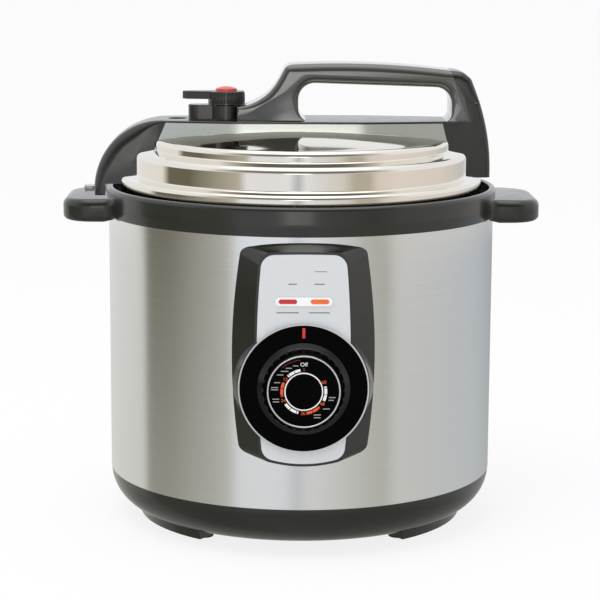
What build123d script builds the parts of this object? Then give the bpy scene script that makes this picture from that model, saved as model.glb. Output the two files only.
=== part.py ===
"""Electric pressure cooker: steel body, bayonet lid with a loop handle, timer knob on the front.

Units are millimetres. The origin is on the pot's axis, at the surface the cooker stands on.
+Z is up and -Y is the front, where the control panel is.
"""

import os
from math import asin, cos, degrees, radians, sin, sqrt

from build123d import *

os.makedirs("parts", exist_ok=True)

# Clearances
seat_clearance = 0.2       # between fixed pieces that slip together
running_clearance = 0.06   # shaft in its hole
lift_clearance = 0.3       # between bodies that only come apart
turn_clearance = 1.2       # between the lid's arms and what they sweep over
seat_gap = 0.1             # under heads and flanges that follow the dome

# Inner pot and the shell round it
pot_radius = 104.0         # inside
pot_wall = 1.6
pot_depth = 148.0
pot_floor = 2.4
pot_corner = 14.0
pot_lip = 7.0              # how far the rim turns out
pot_lip_thickness = 1.5
shell_gap = 3.4            # air between pot and shell
shell_wall = 1.2
shell_rim_height = 3.0
shell_flange = 4.0         # plain rim under the pot's lip
tooth_reach = 10.0         # bayonet teeth beyond the flange
tooth_count = 6
tooth_angle = 26.0
shell_bead = 5.0
shell_bead_thickness = 1.5

# Body
collar_bottom = 220.0
collar_height = 20.0
collar_wall = 4.5
collar_overhang = 1.5      # collar proud of the sleeve
collar_crown = 0.5         # bulge of the collar's outside
gutter_floor = 2.5
gutter_drop = 18.5         # from the collar's top to the underside of the gutter floor
groove_depth = 4.0         # sleeve's edge in the collar
collar_shoulder = 2.5      # rounding of the collar's outer top edge
collar_lip = 1.0           # fall of the collar's top towards the lid
collar_belly = 0.45        # height of the widest place, as a share of the collar
sleeve_wall = 0.8
sleeve_bottom = 36.0
base_floor = 9.4           # underside of the bowl
base_wall = 3.0
bowl_run = 29.5            # half width of the bowl's elliptical side
bowl_sink = 2.1            # lowest point of that ellipse below the floor
base_lip = 6.0
base_lip_wall = 2.5
skirt_bottom = 2.8
skirt_width = 14.0
skirt_lean = 1.0
skirt_inset = 1.2
skirt_half_angle = 53.0
foot_inset = 37.2          # foot centres inside the body's outside
foot_angle = 47.0
foot_radius = 7.0
foot_boss_radius = 9.0
foot_plug_radius = 3.0
foot_plug_length = 4.0
vent_slot_length = 26.0
vent_slot_width = 4.0
vent_slot_circle_radius = 62.0
vent_slot_count = 12

# Side handles
lug_reach = 29.5           # beyond the collar
lug_half_width = 42.0
lug_drop = 8.2             # lug's top below the collar's top
lug_thickness = 15.3
lug_corner = 22.0
lug_root = 9.0             # concave blend into the collar
lug_edge = 3.0
lug_rest_height = 3.4
lug_rest_length = 8.0
lug_rest_width = 6.0
handle_screw_side = 18.0
handle_screw_length = 14.0
handle_bore_depth = 1.6    # for the screw heads in the collar's inside

# Fasteners
screw_radius = 1.9
screw_head_radius = 3.6
screw_head_height = 2.4
screw_hole_radius = 2.1
screw_tip_gap = 1.0        # left at the end of a blind hole
cut_past = 1.0             # how far a cut runs past what it cuts
pick_margin = 1.0          # for finding edges by their place
base_screw_length = 14.0

# Lid
lid_rim_gap = 6.0          # dark gap between lid and collar
lid_wall = 1.2
flange_rise = 4.0          # lid's flange above the collar's top
flare_rise = 2.2           # from the flange to the foot of the lower tier
lower_tier_height = 16.8
ledge_rise = 2.0           # of the sloping ledge between the tiers
dome_rise = 15.0           # top of the dome above the upper tier's foot
dome_radius = 694.0
lower_tier_inset = 10.7    # lower tier inside the lid's rim
upper_tier_inset = 12.5    # upper tier inside the lower one
lid_edge = 3.0
locking_ring_wall = 1.7
locking_ring_height = 4.5
lid_tooth_thickness = 2.5
tooth_play = 2.5           # between the lid's teeth and the shell's teeth
rim_drop = 4.0             # pot's seat below the collar's top
skirt_overlap = 0.5        # lid's skirt below its teeth
lid_drill = 12.0           # length of the holes through the lid

# Inner cover
cover_overlap = 7.0        # cover beyond the pot's inside
cover_thickness = 1.5
seal_height = 5.7
seal_width = 9.5
cover_rim_wall = 1.8
stud_radius = 4.0
stud_flange_radius = 9.0
stud_flange_thickness = 2.0
grommet_radius = 10.0
grommet_neck_radius = 7.0
grommet_flange = 1.5
cover_knob_radius = 10.0
cover_knob_height = 8.0
steam_hole_radius = 4.0
steam_hole_circle_radius = 70.0
steam_hole_count = 6
cover_rim_gap = 1.2        # cover's rim inside the pot
cover_knob_edge = 2.0
cover_knob_end = 1.5       # under the stud

# Strap across the lid
strap_stand = 6.0          # strap's flat top above the dome
strap_half_width = 31.0
strap_end_half_width = 21.0
strap_taper_start = 45.0
strap_taper_past = 6.0     # taper's end beyond the turn into the left arm
left_arm_stand = 7.8       # left arm's outside beyond the collar
left_arm_straight = 4.5    # upright part at the left arm's end
right_arm_stand = 5.3      # right arm's outside beyond the lid's rim
right_arm_straight = 6.0   # upright part of the right arm above the lid's flange
right_arm_bow = 3.0
right_arm_bow_drop = 5.5
horn_root = 14.9           # horn's foot inside the right arm's outside
horn_inset = 8.5           # horn's tip inside the right arm's outside
horn_width = 10.0
horn_rise = 14.8           # horn above the strap
horn_dip = 1.6
horn_tilt = 0.4
strap_edge = 2.5
strap_blend = 60.0         # rounding where the strap narrows
lid_clearance = 0.4
strap_screw_left_offset = 22.0
strap_screw_right_offset = 62.0
strap_screw_side = 17.0
strap_screw_cover = 2.0    # left over the end of a screw hole

# Loop handle on the strap
grip_rise = 40.0           # loop's top above the strap
grip_thickness = 14.5      # from the loop's top to its opening
grip_half_width = 20.0
grip_crown_edge = 1.5
grip_opening_edge = 2.5
grip_crown_offset = 40.0   # highest place of the loop, right of the axis
leg_foot = 0.05            # slope where the tail starts to rise
leg_middle_offset = 25.2   # left of the axis
leg_middle_rise = 17.7     # above the strap
leg_top_offset = 12.5
leg_top_drop = 4.0         # below the loop's top
nose_offset = 5.5
nose_drop = 0.7
opening_left_offset = 2.4
opening_right_inset = 9.5  # opening's right end inside the horn
opening_slope = 1.2        # fall of the opening's top to the right
opening_end_radius = 11.5
tail_cover = 7.9           # tail's end right of the valve's axis
tail_height = 9.4
seam = 0.3                 # gap between the loop, its end cover and the strap
seam_top_inset = 10.5      # seam's points inside the horn
seam_top_drop = 4.6        # and below the loop's top
seam_middle_inset = 8.2
seam_middle_drop = 11.0
seam_low_inset = 4.3
seam_low_rise = 7.8        # above the horn
end_cover_proud = 0.8
end_cover_back_inset = 5.4     # inside the horn's tip
end_cover_back_drop = 11.4     # below the loop's top
end_cover_corner_inset = 9.0
end_cover_corner_drop = 7.7
grip_screw_offset = 12.0   # left screw, left of the axis
grip_screw_inset = 4.0     # right screw inside the horn
grip_screw_right_drop = 8.0   # right head below the strap's top
grip_screw_length = 14.0
valve_bay = 1.5            # gap between the tail and the valve

# Steam valve
valve_offset = 53.4        # left of the axis
valve_radius = 13.0
valve_base_height = 10.0
valve_cap_gap = 0.4
valve_base_inset = 0.6
valve_edge = 1.0
valve_cap_height = 9.2
guard_gap = 7.6            # between the guard's left end and the float's axis
guard_half_width = 7.5
lever_reach = 31.0
lever_half_width = 5.5
lever_root = 3.0           # how much wider the lever is at its root
lever_tip = 3.0
lever_tip_narrow = 1.5
lever_thickness = 5.6
stem_radius = 5.0
stem_bore = 1.8
stem_flange_radius = 8.5
stem_flange_thickness = 2.5
nut_across_flats = 16.0
nut_height = 3.6
nut_pocket_roof = 3.0
nut_pocket_room = 0.65     # pocket radius as a share of the nut's width
stem_drop = 12.0           # stem below its flange
stem_rise = 1.6            # stem inside the cap
block_cap_radius = 11.0
block_cap_wall = 1.4
block_cap_height = 15.0
block_slot_count = 8
block_slot_width = 3.0
button_radius = 7.5
button_rise = 3.2
button_stem_radius = 2.5
button_spring_wall = 1.2
button_spring_length = 2.6
button_dome = 1.6
button_stem_drop = 0.8     # stem below the spring's seat
button_well = 4.2

# Float valve
float_inset = 17.0         # float's axis inside the upper tier
float_radius = 3.0
float_head_radius = 4.0
float_head_height = 1.2
float_travel = 6.0
float_bush_wall = 1.5
float_bush_drop = 3.0      # bush's top below the strap's top
float_seal_radius = 6.5
float_seal_height = 3.0
float_bush_flange = 1.6
float_foot = 1.2
float_foot_inset = 1.0

# Control panel
panel_stand = 6.0          # face of the panel in front of the sleeve
panel_drop = 6.0           # panel's side corners below the collar
panel_tail = 43.3          # panel's lower corners below the dial's axis
panel_half_top = 47.2      # rear outline, which lies inside the sleeve
panel_half_mid = 51.3
panel_half_low = 48.6
panel_top_rise = 13.0
panel_bottom_drop = 15.3
panel_corner = 6.0
panel_mid_rise = 7.0       # widest place above the dial's axis
panel_back_depth = 18.0    # from the panel's face to its rear outline
panel_wall = 3.0
plate_drop = 5.0           # plate's top below the panel's side corners
plate_tail = 47.0          # plate's bottom below the dial's axis
plate_half_top = 27.5
plate_half_mid = 30.6
plate_half_low = 27.0
plate_top_rise = 0.6
plate_bottom_drop = 4.6
plate_corner = 9.0
plate_thickness = 1.2
plate_border = 1.6
dial_drop = 57.6           # dial's axis below the lamps
dial_radius = 42.0
dial_thickness = 2.4
dial_ring_proud = 0.4
dial_ring_width = 1.0
dial_seat_margin = 0.9
dial_seat_flare = 3.0
dial_seat_depth = 14.0
knob_base_radius = 30.6
knob_skirt_height = 3.0
knob_grip_radius = 27.2
knob_face_radius = 23.9
knob_height = 10.0
knob_flute_count = 28
knob_flute_radius = 1.5
knob_dish = 0.8
knob_skirt_edge = 1.0
knob_bevel = 0.6
knob_face_rim = 0.9
knob_dish_wall = 0.4
knob_flute_offset = 0.5    # flute centres outside the grip
knob_cover = 3.0           # over the end of the shaft
shaft_radius = 3.0
shaft_room = 1.0
shaft_depth = 12.0         # shaft inside the timer
indicator_drop = 30.4      # lamps below the plate's top
indicator_length = 37.6
indicator_width = 5.8
indicator_thickness = 1.9
indicator_fit = 0.1
light_slot_margin = 2.0
light_slot_trim = 1.0
lens_proud = 0.3
lens_length = 11.8
lens_width = 2.8
lens_offset = 10.5
timer_size = 46.0
timer_depth = 22.0
timer_screw_offset = 18.0
timer_corner = 4.0
pocket_room = 1.0          # round the timer and the board
window_room = 1.5          # round them in the sleeve
board_length = 40.0
board_width = 14.0
board_thickness = 1.6
lamp_radius = 1.3
lamp_gap = 0.3
board_post_radius = 2.0
board_post_inset = 2.5
board_stand = 2.0          # board behind the bezel's wall

# Heater
pot_to_plate = 0.3
plate_inset = 16.0         # plate's edge inside the pot's
plate_height = 12.0
plate_edge = 2.0
element_circle_radius = 60.0
element_radius = 3.4
element_arc = 330.0
terminal_length = 16.0
terminal_room = 1.5
stud_circle_radius = 76.0
stud_pin_radius = 3.0
stud_spacer_radius = 6.0
stud_spacer_height = 8.5
stud_tail = 5.0            # stud below the shell's floor
shell_floor = 1.5
shell_floor_hole = 22.0
sensor_radius = 14.0
sensor_cap_height = 4.0
sensor_stem_radius = 6.0
sensor_ledge = 4.0
sensor_clip_radius = 9.5
sensor_clip_height = 1.7
sensor_spring_wall = 2.0
cutout_radius = 8.0
cutout_height = 5.0
cutout_circle_radius = 34.0
switch_length = 26.0
switch_width = 16.0
switch_height = 14.0
switch_post_height = 6.0
switch_post_radius = 5.0
switch_circle_radius = 42.0
post_circle_radius = 88.0
post_radius = 6.0

# Power inlet
inlet_height = 62.0
inlet_half_width = 22.0
inlet_half_height = 17.0
inlet_reach = 18.5         # beyond the sleeve
inlet_neck = 9.0           # inside the sleeve
inlet_corner = 5.0
socket_width = 24.0
socket_height = 17.0
socket_depth = 15.0
inlet_pin_length = 9.0
inlet_pin_width = 4.0
inlet_pin_thickness = 2.0
inlet_pin_spacing = 7.0
inlet_screw_offset = 17.3
inlet_edge = 2.0
socket_corner = 3.0
neck_wall = 3.0
neck_room = 0.5
neck_root = 4.0            # neck inside the housing
pin_drop = 2.0
pin_rise = 3.0
inlet_screw_tail = 4.0     # screw inside the sleeve

# Sizes that follow from the ones above
pot_outer = pot_radius + pot_wall
shell_inner = pot_outer + shell_gap
shell_outer = shell_inner + shell_wall
flange_radius = shell_outer + shell_flange
shell_tooth_radius = flange_radius + tooth_reach
locking_ring_inner = shell_tooth_radius + 3 * lift_clearance
lid_skirt_inner = locking_ring_inner + locking_ring_wall + seat_clearance
lid_rim_radius = lid_skirt_inner + lid_wall
collar_inner = lid_rim_radius + lid_rim_gap
collar_radius = collar_inner + collar_wall
body_radius = collar_radius - collar_overhang
collar_top = collar_bottom + collar_height
sleeve_top = collar_bottom + groove_depth
gutter_bottom = collar_top - gutter_drop
gutter_top = gutter_bottom + gutter_floor
rim_top = collar_top - rim_drop
tooth_bottom = rim_top - shell_rim_height
lid_tooth_top = tooth_bottom - tooth_play
lid_tooth_bottom = lid_tooth_top - lid_tooth_thickness
lid_skirt_bottom = lid_tooth_bottom - skirt_overlap
tooth_pitch = 360.0 / tooth_count
lid_tooth_inner = flange_radius + lift_clearance
lip_top = rim_top + pot_lip_thickness
pot_bottom = rim_top - pot_depth
plate_top_z = pot_bottom - pot_to_plate
plate_bottom_z = plate_top_z - plate_height
shell_floor_top = plate_bottom_z - stud_spacer_height
shell_floor_bottom = shell_floor_top - shell_floor
base_inside = base_floor + base_wall
seal_bottom = lip_top + lift_clearance
cover_bottom = seal_bottom + seal_height
cover_top = cover_bottom + cover_thickness
panel_face = body_radius + panel_stand
dial_front = panel_face + dial_thickness
inlet_back = body_radius + inlet_reach
lug_top = collar_top - lug_drop
lug_bottom = lug_top - lug_thickness
lug_end = collar_radius + lug_reach
bowl_drop = sleeve_bottom - base_floor + bowl_sink
foot_circle_radius = body_radius - foot_inset
plate_radius = pot_radius - plate_inset
cover_radius = pot_radius + cover_overlap
flange_height = collar_top + flange_rise
lower_tier_foot = flange_height + flare_rise
lower_tier_top = lower_tier_foot + lower_tier_height
upper_tier_foot = lower_tier_top + ledge_rise
lid_centre = upper_tier_foot + dome_rise
lower_tier_radius = lid_rim_radius - lower_tier_inset
upper_tier_radius = lower_tier_radius - upper_tier_inset
strap_top = lid_centre + strap_stand
left_arm_bottom = lug_top + turn_clearance
left_arm_radius = strap_top - left_arm_bottom - left_arm_straight
left_arm_centre = collar_radius + left_arm_stand - left_arm_radius
strap_taper_end = left_arm_centre + strap_taper_past
right_arm_reach = lid_rim_radius + right_arm_stand
right_arm_shoulder = right_arm_reach - horn_root
horn_outer = right_arm_reach - horn_inset
horn_inner = horn_outer - horn_width
horn_top = strap_top + horn_rise
grip_top = strap_top + grip_rise
opening_left = -opening_left_offset
opening_right = horn_inner - opening_right_inset
opening_top = grip_top - grip_thickness
leg_middle = (-leg_middle_offset, strap_top + leg_middle_rise)
leg_top = (-leg_top_offset, grip_top - leg_top_drop)
grip_nose = (-nose_offset, grip_top - nose_drop)
seam_line = [
    (horn_inner - seam_top_inset, grip_top - seam_top_drop),
    (horn_inner - seam_middle_inset, grip_top - seam_middle_drop),
    (horn_inner - seam_low_inset, horn_top + seam_low_rise),
]
end_cover_back = (horn_outer - end_cover_back_inset, grip_top - end_cover_back_drop)
end_cover_corner = (horn_outer - end_cover_corner_inset, grip_top - end_cover_corner_drop)
valve_x = -valve_offset
grip_tail = valve_x + tail_cover
grip_screw_left = -grip_screw_offset
grip_screw_right = horn_inner - grip_screw_inset
float_x = float_inset - upper_tier_radius
guard_end = valve_x - float_x - guard_gap
float_bush_top = strap_top - float_bush_drop
panel_top = collar_bottom - panel_drop
plate_top = panel_top - plate_drop
indicator_height = plate_top - indicator_drop
dial_height = indicator_height - dial_drop
panel_mid = dial_height + panel_mid_rise
panel_bottom = dial_height - panel_tail
plate_bottom = dial_height - plate_tail

STAND = (Align.CENTER, Align.CENTER, Align.MIN)
HANG = (Align.CENTER, Align.CENTER, Align.MAX)


def radial_plane(angle):
    """Upright plane through the pot's axis, with its x direction at this angle from +X."""
    turn = radians(angle)
    return Plane(origin=(0, 0, 0), x_dir=(cos(turn), sin(turn), 0), z_dir=(sin(turn), -cos(turn), 0))


def front_plane(distance, height=0.0):
    """Plane that faces the front, this far before the axis, with local y upwards."""
    return Plane(origin=(0, -distance, height), x_dir=(1, 0, 0), z_dir=(0, -1, 0))


def back_plane(distance, height=0.0):
    """Plane that faces the back, this far behind the axis, with local y upwards."""
    return Plane(origin=(0, distance, height), x_dir=(-1, 0, 0), z_dir=(0, 1, 0))


def dome_z(radius, inset=0.0):
    """Height of the lid's dome at this radius, on its outside or this far inside."""
    return lid_centre - inset - dome_radius + sqrt(dome_radius**2 - radius**2)


def ring_sector(inner, outer, middle_angle, width_angle):
    """Flat ring sector, as a sketch on the ground plane."""
    low = radians(middle_angle - width_angle / 2)
    mid = radians(middle_angle)
    high = radians(middle_angle + width_angle / 2)
    with BuildSketch() as sector:
        with BuildLine():
            ThreePointArc(
                (outer * cos(low), outer * sin(low)),
                (outer * cos(mid), outer * sin(mid)),
                (outer * cos(high), outer * sin(high)),
            )
            Line((outer * cos(high), outer * sin(high)), (inner * cos(high), inner * sin(high)))
            ThreePointArc(
                (inner * cos(high), inner * sin(high)),
                (inner * cos(mid), inner * sin(mid)),
                (inner * cos(low), inner * sin(low)),
            )
            Line((inner * cos(low), inner * sin(low)), (outer * cos(low), outer * sin(low)))
        make_face()
    return sector.sketch


def bowed_outline(half_top, half_mid, half_low, top, bottom, top_rise, bottom_drop, corner):
    """Panel outline with bowed sides, a peaked top and a rounded bottom, as a sketch."""
    with BuildSketch() as outline:
        with BuildLine():
            ThreePointArc((-half_top, top), (0, top + top_rise), (half_top, top))
            ThreePointArc((half_top, top), (half_mid, panel_mid), (half_low, bottom))
            ThreePointArc((half_low, bottom), (0, bottom - bottom_drop), (-half_low, bottom))
            ThreePointArc((-half_low, bottom), (-half_mid, panel_mid), (-half_top, top))
        make_face()
        fillet(outline.vertices(), corner)
    return outline.sketch


def save(piece, name):
    """Name the finished piece and write it."""
    piece.label = name
    export_step(piece, f"parts/{name}.step")


# Base housing: a moulded bowl with a skirt along each side, bosses for the feet and vents in its floor
base_radius = body_radius - seat_clearance
bowl_centre = base_radius - bowl_run
outer_sweep = degrees(asin((sleeve_bottom - base_floor) / bowl_drop))
inner_drop = bowl_drop - base_wall
inner_sweep = degrees(asin((sleeve_bottom - base_inside) / inner_drop))
lip_outer = body_radius - sleeve_wall - seat_clearance
lip_inner = lip_outer - base_lip_wall
foot_places = [
    (foot_circle_radius * cos(radians(a)), foot_circle_radius * sin(radians(a)))
    for a in (foot_angle, 180 - foot_angle, 180 + foot_angle, -foot_angle)
]
with BuildPart() as base_housing:
    with BuildSketch(Plane.XZ):
        with BuildLine():
            outer_arc = EllipticalCenterArc(
                (bowl_centre, sleeve_bottom),
                bowl_run,
                bowl_drop,
                start_angle=-outer_sweep,
                arc_size=outer_sweep,
            )
            inner_arc = EllipticalCenterArc(
                (bowl_centre, sleeve_bottom),
                bowl_run - base_wall,
                inner_drop,
                start_angle=-inner_sweep,
                arc_size=inner_sweep,
            )
            Polyline(
                outer_arc @ 1,
                (lip_outer, sleeve_bottom),
                (lip_outer, sleeve_bottom + base_lip),
                (lip_inner, sleeve_bottom + base_lip),
                (lip_inner, sleeve_bottom),
                inner_arc @ 1,
            )
            Polyline(inner_arc @ 0, (0, base_inside), (0, base_floor), outer_arc @ 0)
        make_face()
    revolve(axis=Axis.Z)
    skirt_outer = (outer_arc @ 0).X - skirt_inset
    for start in (-skirt_half_angle, 180 - skirt_half_angle):
        with BuildSketch(radial_plane(start)):
            with BuildLine():
                Polyline(
                    (skirt_outer - skirt_width, base_floor),
                    (skirt_outer, base_floor),
                    (skirt_outer - skirt_lean, skirt_bottom),
                    (skirt_outer - skirt_width, skirt_bottom),
                    close=True,
                )
            make_face()
        revolve(axis=Axis.Z, revolution_arc=2 * skirt_half_angle)
    with Locations(*[(x, y, base_floor) for x, y in foot_places]):
        Cylinder(foot_boss_radius, base_floor - skirt_bottom, align=HANG)
    with Locations(*[(x, y, skirt_bottom) for x, y in foot_places]):
        Cylinder(foot_plug_radius, foot_plug_length, align=STAND, mode=Mode.SUBTRACT)
    with BuildSketch(Plane.XY.offset(base_floor)):
        with PolarLocations(vent_slot_circle_radius, vent_slot_count):
            SlotOverall(vent_slot_length, vent_slot_width)
    extrude(amount=base_wall, mode=Mode.SUBTRACT)
    with Locations((0, 0, base_floor)):
        with PolarLocations(post_circle_radius, 3, start_angle=90):
            Cylinder(screw_hole_radius, base_wall, align=STAND, mode=Mode.SUBTRACT)
save(base_housing.part, "base_housing")

# Rubber feet: four pads, each with a plug pushed into its boss
with BuildPart() as rubber_feet:
    with Locations(*[(x, y, 0) for x, y in foot_places]):
        Cylinder(foot_radius, skirt_bottom, align=STAND)
        Cylinder(
            foot_plug_radius - seat_clearance, skirt_bottom + foot_plug_length - seat_clearance, align=STAND
        )
save(rubber_feet.part, "rubber_feet")

# Support posts: three pillars from the base's floor to the underside of the shell
post_length = shell_floor_bottom - base_inside
with BuildPart() as support_posts:
    with Locations((0, 0, base_inside)):
        with PolarLocations(post_circle_radius, 3, start_angle=90):
            Cylinder(post_radius, post_length, align=STAND)
            Cylinder(screw_hole_radius, base_screw_length, align=STAND, mode=Mode.SUBTRACT)
save(support_posts.part, "support_posts")

# Base screws: from below, through the floor into the posts
with BuildPart() as base_screws:
    with Locations((0, 0, base_floor)):
        with PolarLocations(post_circle_radius, 3, start_angle=90):
            Cylinder(screw_head_radius, screw_head_height, align=HANG)
            Cylinder(screw_radius, base_wall + base_screw_length - screw_tip_gap, align=STAND)
save(base_screws.part, "base_screws")

# Outer sleeve: thin steel tube with windows for the panel and the inlet
window_size = timer_size + 2 * window_room
neck_width = socket_width + 2 * neck_wall
neck_height = socket_height + 2 * neck_wall
with BuildPart() as outer_sleeve:
    with BuildSketch(Plane.XY.offset(sleeve_bottom)):
        Circle(body_radius)
        Circle(body_radius - sleeve_wall, mode=Mode.SUBTRACT)
    extrude(amount=sleeve_top - sleeve_bottom)
    with BuildSketch(front_plane(0, 0)):
        with Locations((0, dial_height)):
            Rectangle(window_size, window_size)
        with Locations((0, indicator_height)):
            Rectangle(board_length + 2 * window_room, board_width + 2 * window_room)
    extrude(amount=body_radius + cut_past, mode=Mode.SUBTRACT)
    with BuildSketch(back_plane(0, inlet_height)):
        Rectangle(neck_width + 2 * neck_room, neck_height + 2 * neck_room)
        with Locations((inlet_screw_offset, 0), (-inlet_screw_offset, 0)):
            Circle(screw_hole_radius)
    extrude(amount=body_radius + cut_past, mode=Mode.SUBTRACT)
save(outer_sleeve.part, "outer_sleeve")

# Collar ring: moulded ring that grips the sleeve's top edge and carries the gutter floor
groove_inner = body_radius - sleeve_wall - seat_clearance
groove_outer = body_radius + seat_clearance
handle_screw_z = gutter_top + screw_head_radius + 2 * seat_clearance
handle_screw_start = collar_inner + handle_bore_depth
with BuildPart() as collar_ring:
    with BuildSketch(Plane.XZ):
        with BuildLine():
            ThreePointArc(
                (collar_radius - collar_crown, collar_bottom),
                (collar_radius, collar_bottom + collar_height * collar_belly),
                (collar_radius - collar_crown, collar_top - collar_shoulder),
            )
            ThreePointArc(
                (collar_radius - collar_crown, collar_top - collar_shoulder),
                ((collar_radius + collar_inner) / 2, collar_top),
                (collar_inner, collar_top - collar_lip),
            )
            Polyline(
                (collar_inner, collar_top - collar_lip),
                (collar_inner, gutter_top),
                (shell_outer + seat_clearance, gutter_top),
                (shell_outer + seat_clearance, gutter_bottom),
                (collar_inner, gutter_bottom),
                (collar_inner, collar_bottom),
                (groove_inner, collar_bottom),
                (groove_inner, sleeve_top),
                (groove_outer, sleeve_top),
                (groove_outer, collar_bottom),
                (collar_radius - collar_crown, collar_bottom),
            )
        make_face()
    revolve(axis=Axis.Z)
    for side in (1, -1):
        with BuildSketch(Plane.YZ):
            with Locations((handle_screw_side, handle_screw_z), (-handle_screw_side, handle_screw_z)):
                Circle(screw_hole_radius)
        extrude(amount=side * (collar_radius + cut_past), mode=Mode.SUBTRACT)
        with BuildSketch(Plane.YZ):
            with Locations((handle_screw_side, handle_screw_z), (-handle_screw_side, handle_screw_z)):
                Circle(screw_head_radius + seat_clearance)
        extrude(amount=side * handle_screw_start, mode=Mode.SUBTRACT)
save(collar_ring.part, "collar_ring")

# Side handles: solid lugs that blend into the collar, the left one with a raised lid rest
for side, name in ((1, "side_handle_right"), (-1, "side_handle_left")):
    with BuildPart() as side_handle:
        with BuildSketch(Plane.XY.offset(lug_bottom)) as lug_plan:
            Circle(collar_radius)
            with Locations((side * lug_end / 2, 0)):
                Rectangle(lug_end, 2 * lug_half_width)
            outer_corners = lug_plan.vertices().sort_by(Axis.X)
            fillet(outer_corners[-2:] if side > 0 else outer_corners[:2], lug_corner)
            roots = [
                v
                for v in lug_plan.vertices()
                if abs(sqrt(v.X**2 + v.Y**2) - collar_radius) < 0.01
                and side * v.X > 0
                and abs(v.Y) > pick_margin
            ]
            fillet(roots, lug_root)
            Circle(collar_radius + seat_clearance, mode=Mode.SUBTRACT)
            Rectangle(2 * collar_radius, 4 * collar_radius, mode=Mode.SUBTRACT)
        extrude(amount=lug_thickness)
        outer_edges = side_handle.edges().filter_by(
            lambda e: abs(e.center().Z - lug_top) < 0.01 or abs(e.center().Z - lug_bottom) < 0.01
        )
        rounded = outer_edges.filter_by(
            lambda e: min(sqrt(p.X**2 + p.Y**2) for p in (e @ 0, e @ 0.5, e @ 1))
            > collar_radius + pick_margin
            or max(sqrt(p.X**2 + p.Y**2) for p in (e @ 0, e @ 0.5, e @ 1)) > collar_radius + lug_root
        )
        fillet(rounded, lug_edge)
        with BuildSketch(Plane.YZ.offset(side * (collar_radius - cut_past))):
            with Locations((handle_screw_side, handle_screw_z), (-handle_screw_side, handle_screw_z)):
                Circle(screw_hole_radius)
        extrude(amount=side * handle_screw_length, mode=Mode.SUBTRACT)
        if side < 0:
            rest_y = lug_half_width - lug_corner / 2 - lug_rest_width / 2
            rest_x = -(collar_radius + lug_reach / 2)
            with Locations((rest_x, rest_y, lug_top)):
                Box(lug_rest_length, lug_rest_width, lug_rest_height, align=STAND)
    save(side_handle.part, name)

# Handle screws: from the collar's inside into the lugs
with BuildPart() as handle_screws:
    for side in (1, -1):
        with BuildSketch(Plane.YZ.offset(side * handle_screw_start)):
            with Locations((handle_screw_side, handle_screw_z), (-handle_screw_side, handle_screw_z)):
                Circle(screw_radius)
        extrude(amount=side * (handle_screw_length - screw_tip_gap))
        with BuildSketch(Plane.YZ.offset(side * handle_screw_start)):
            with Locations((handle_screw_side, handle_screw_z), (-handle_screw_side, handle_screw_z)):
                Circle(screw_head_radius)
        extrude(amount=-side * screw_head_height)
save(handle_screws.part, "handle_screws")

# Inner shell: drawn steel shell with a seat bead on the gutter floor and teeth round its rim
terminal_half_angle = (360.0 - element_arc) / 2
terminal_places = [
    (element_circle_radius * cos(radians(90 + a)), element_circle_radius * sin(radians(90 + a)))
    for a in (-terminal_half_angle, terminal_half_angle)
]
with BuildPart() as inner_shell:
    with BuildSketch(Plane.XZ):
        with BuildLine():
            Polyline(
                (shell_floor_hole, shell_floor_bottom),
                (shell_outer, shell_floor_bottom),
                (shell_outer, gutter_top),
                (shell_outer + shell_bead, gutter_top),
                (shell_outer + shell_bead, gutter_top + shell_bead_thickness),
                (shell_outer, gutter_top + shell_bead_thickness),
                (shell_outer, tooth_bottom),
                (flange_radius, tooth_bottom),
                (flange_radius, rim_top),
                (shell_inner, rim_top),
                (shell_inner, shell_floor_top),
                (shell_floor_hole, shell_floor_top),
                close=True,
            )
        make_face()
    revolve(axis=Axis.Z)
    with BuildSketch(Plane.XY.offset(tooth_bottom)):
        for index in range(tooth_count):
            add(ring_sector(flange_radius - cut_past, shell_tooth_radius, index * tooth_pitch, tooth_angle))
    extrude(amount=shell_rim_height)
    with Locations((0, 0, shell_floor_bottom)):
        with PolarLocations(stud_circle_radius, 3, start_angle=30):
            Cylinder(stud_pin_radius + seat_clearance, shell_floor, align=STAND, mode=Mode.SUBTRACT)
    with Locations(*[(x, y, shell_floor_bottom) for x, y in terminal_places]):
        Cylinder(element_radius + terminal_room, shell_floor, align=STAND, mode=Mode.SUBTRACT)
save(inner_shell.part, "inner_shell")

# Heating plate: cast disc with a groove for the element and a stepped hole for the sensor
sensor_hole = sensor_radius + lift_clearance
with BuildPart() as heating_plate:
    with Locations((0, 0, plate_bottom_z)):
        Cylinder(plate_radius, plate_height, align=STAND)
        Cylinder(
            sensor_stem_radius + running_clearance, sensor_ledge, align=STAND, mode=Mode.SUBTRACT
        )
    with Locations((0, 0, plate_bottom_z + sensor_ledge)):
        Cylinder(sensor_hole, plate_height - sensor_ledge, align=STAND, mode=Mode.SUBTRACT)
    with Locations((0, 0, plate_bottom_z)):
        with PolarLocations(stud_circle_radius, 3, start_angle=30):
            Cylinder(stud_pin_radius + seat_clearance, plate_height / 2, align=STAND, mode=Mode.SUBTRACT)
    with BuildSketch(Plane.XZ):
        with Locations((element_circle_radius, plate_bottom_z)):
            Circle(element_radius + seat_clearance)
    revolve(axis=Axis.Z, mode=Mode.SUBTRACT)
    fillet(heating_plate.edges().group_by(Axis.Z)[-1].sort_by(SortBy.LENGTH)[-1], plate_edge)
save(heating_plate.part, "heating_plate")

# Heating element: tubular ring half let into the plate, with two terminals down through the shell
with BuildPart() as heating_element:
    with BuildSketch(radial_plane(90 + terminal_half_angle)):
        with Locations((element_circle_radius, plate_bottom_z)):
            Circle(element_radius)
    revolve(axis=Axis.Z, revolution_arc=element_arc)
    with Locations(*[(x, y, plate_bottom_z) for x, y in terminal_places]):
        Cylinder(element_radius, terminal_length, align=HANG)
save(heating_element.part, "heating_element")

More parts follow.
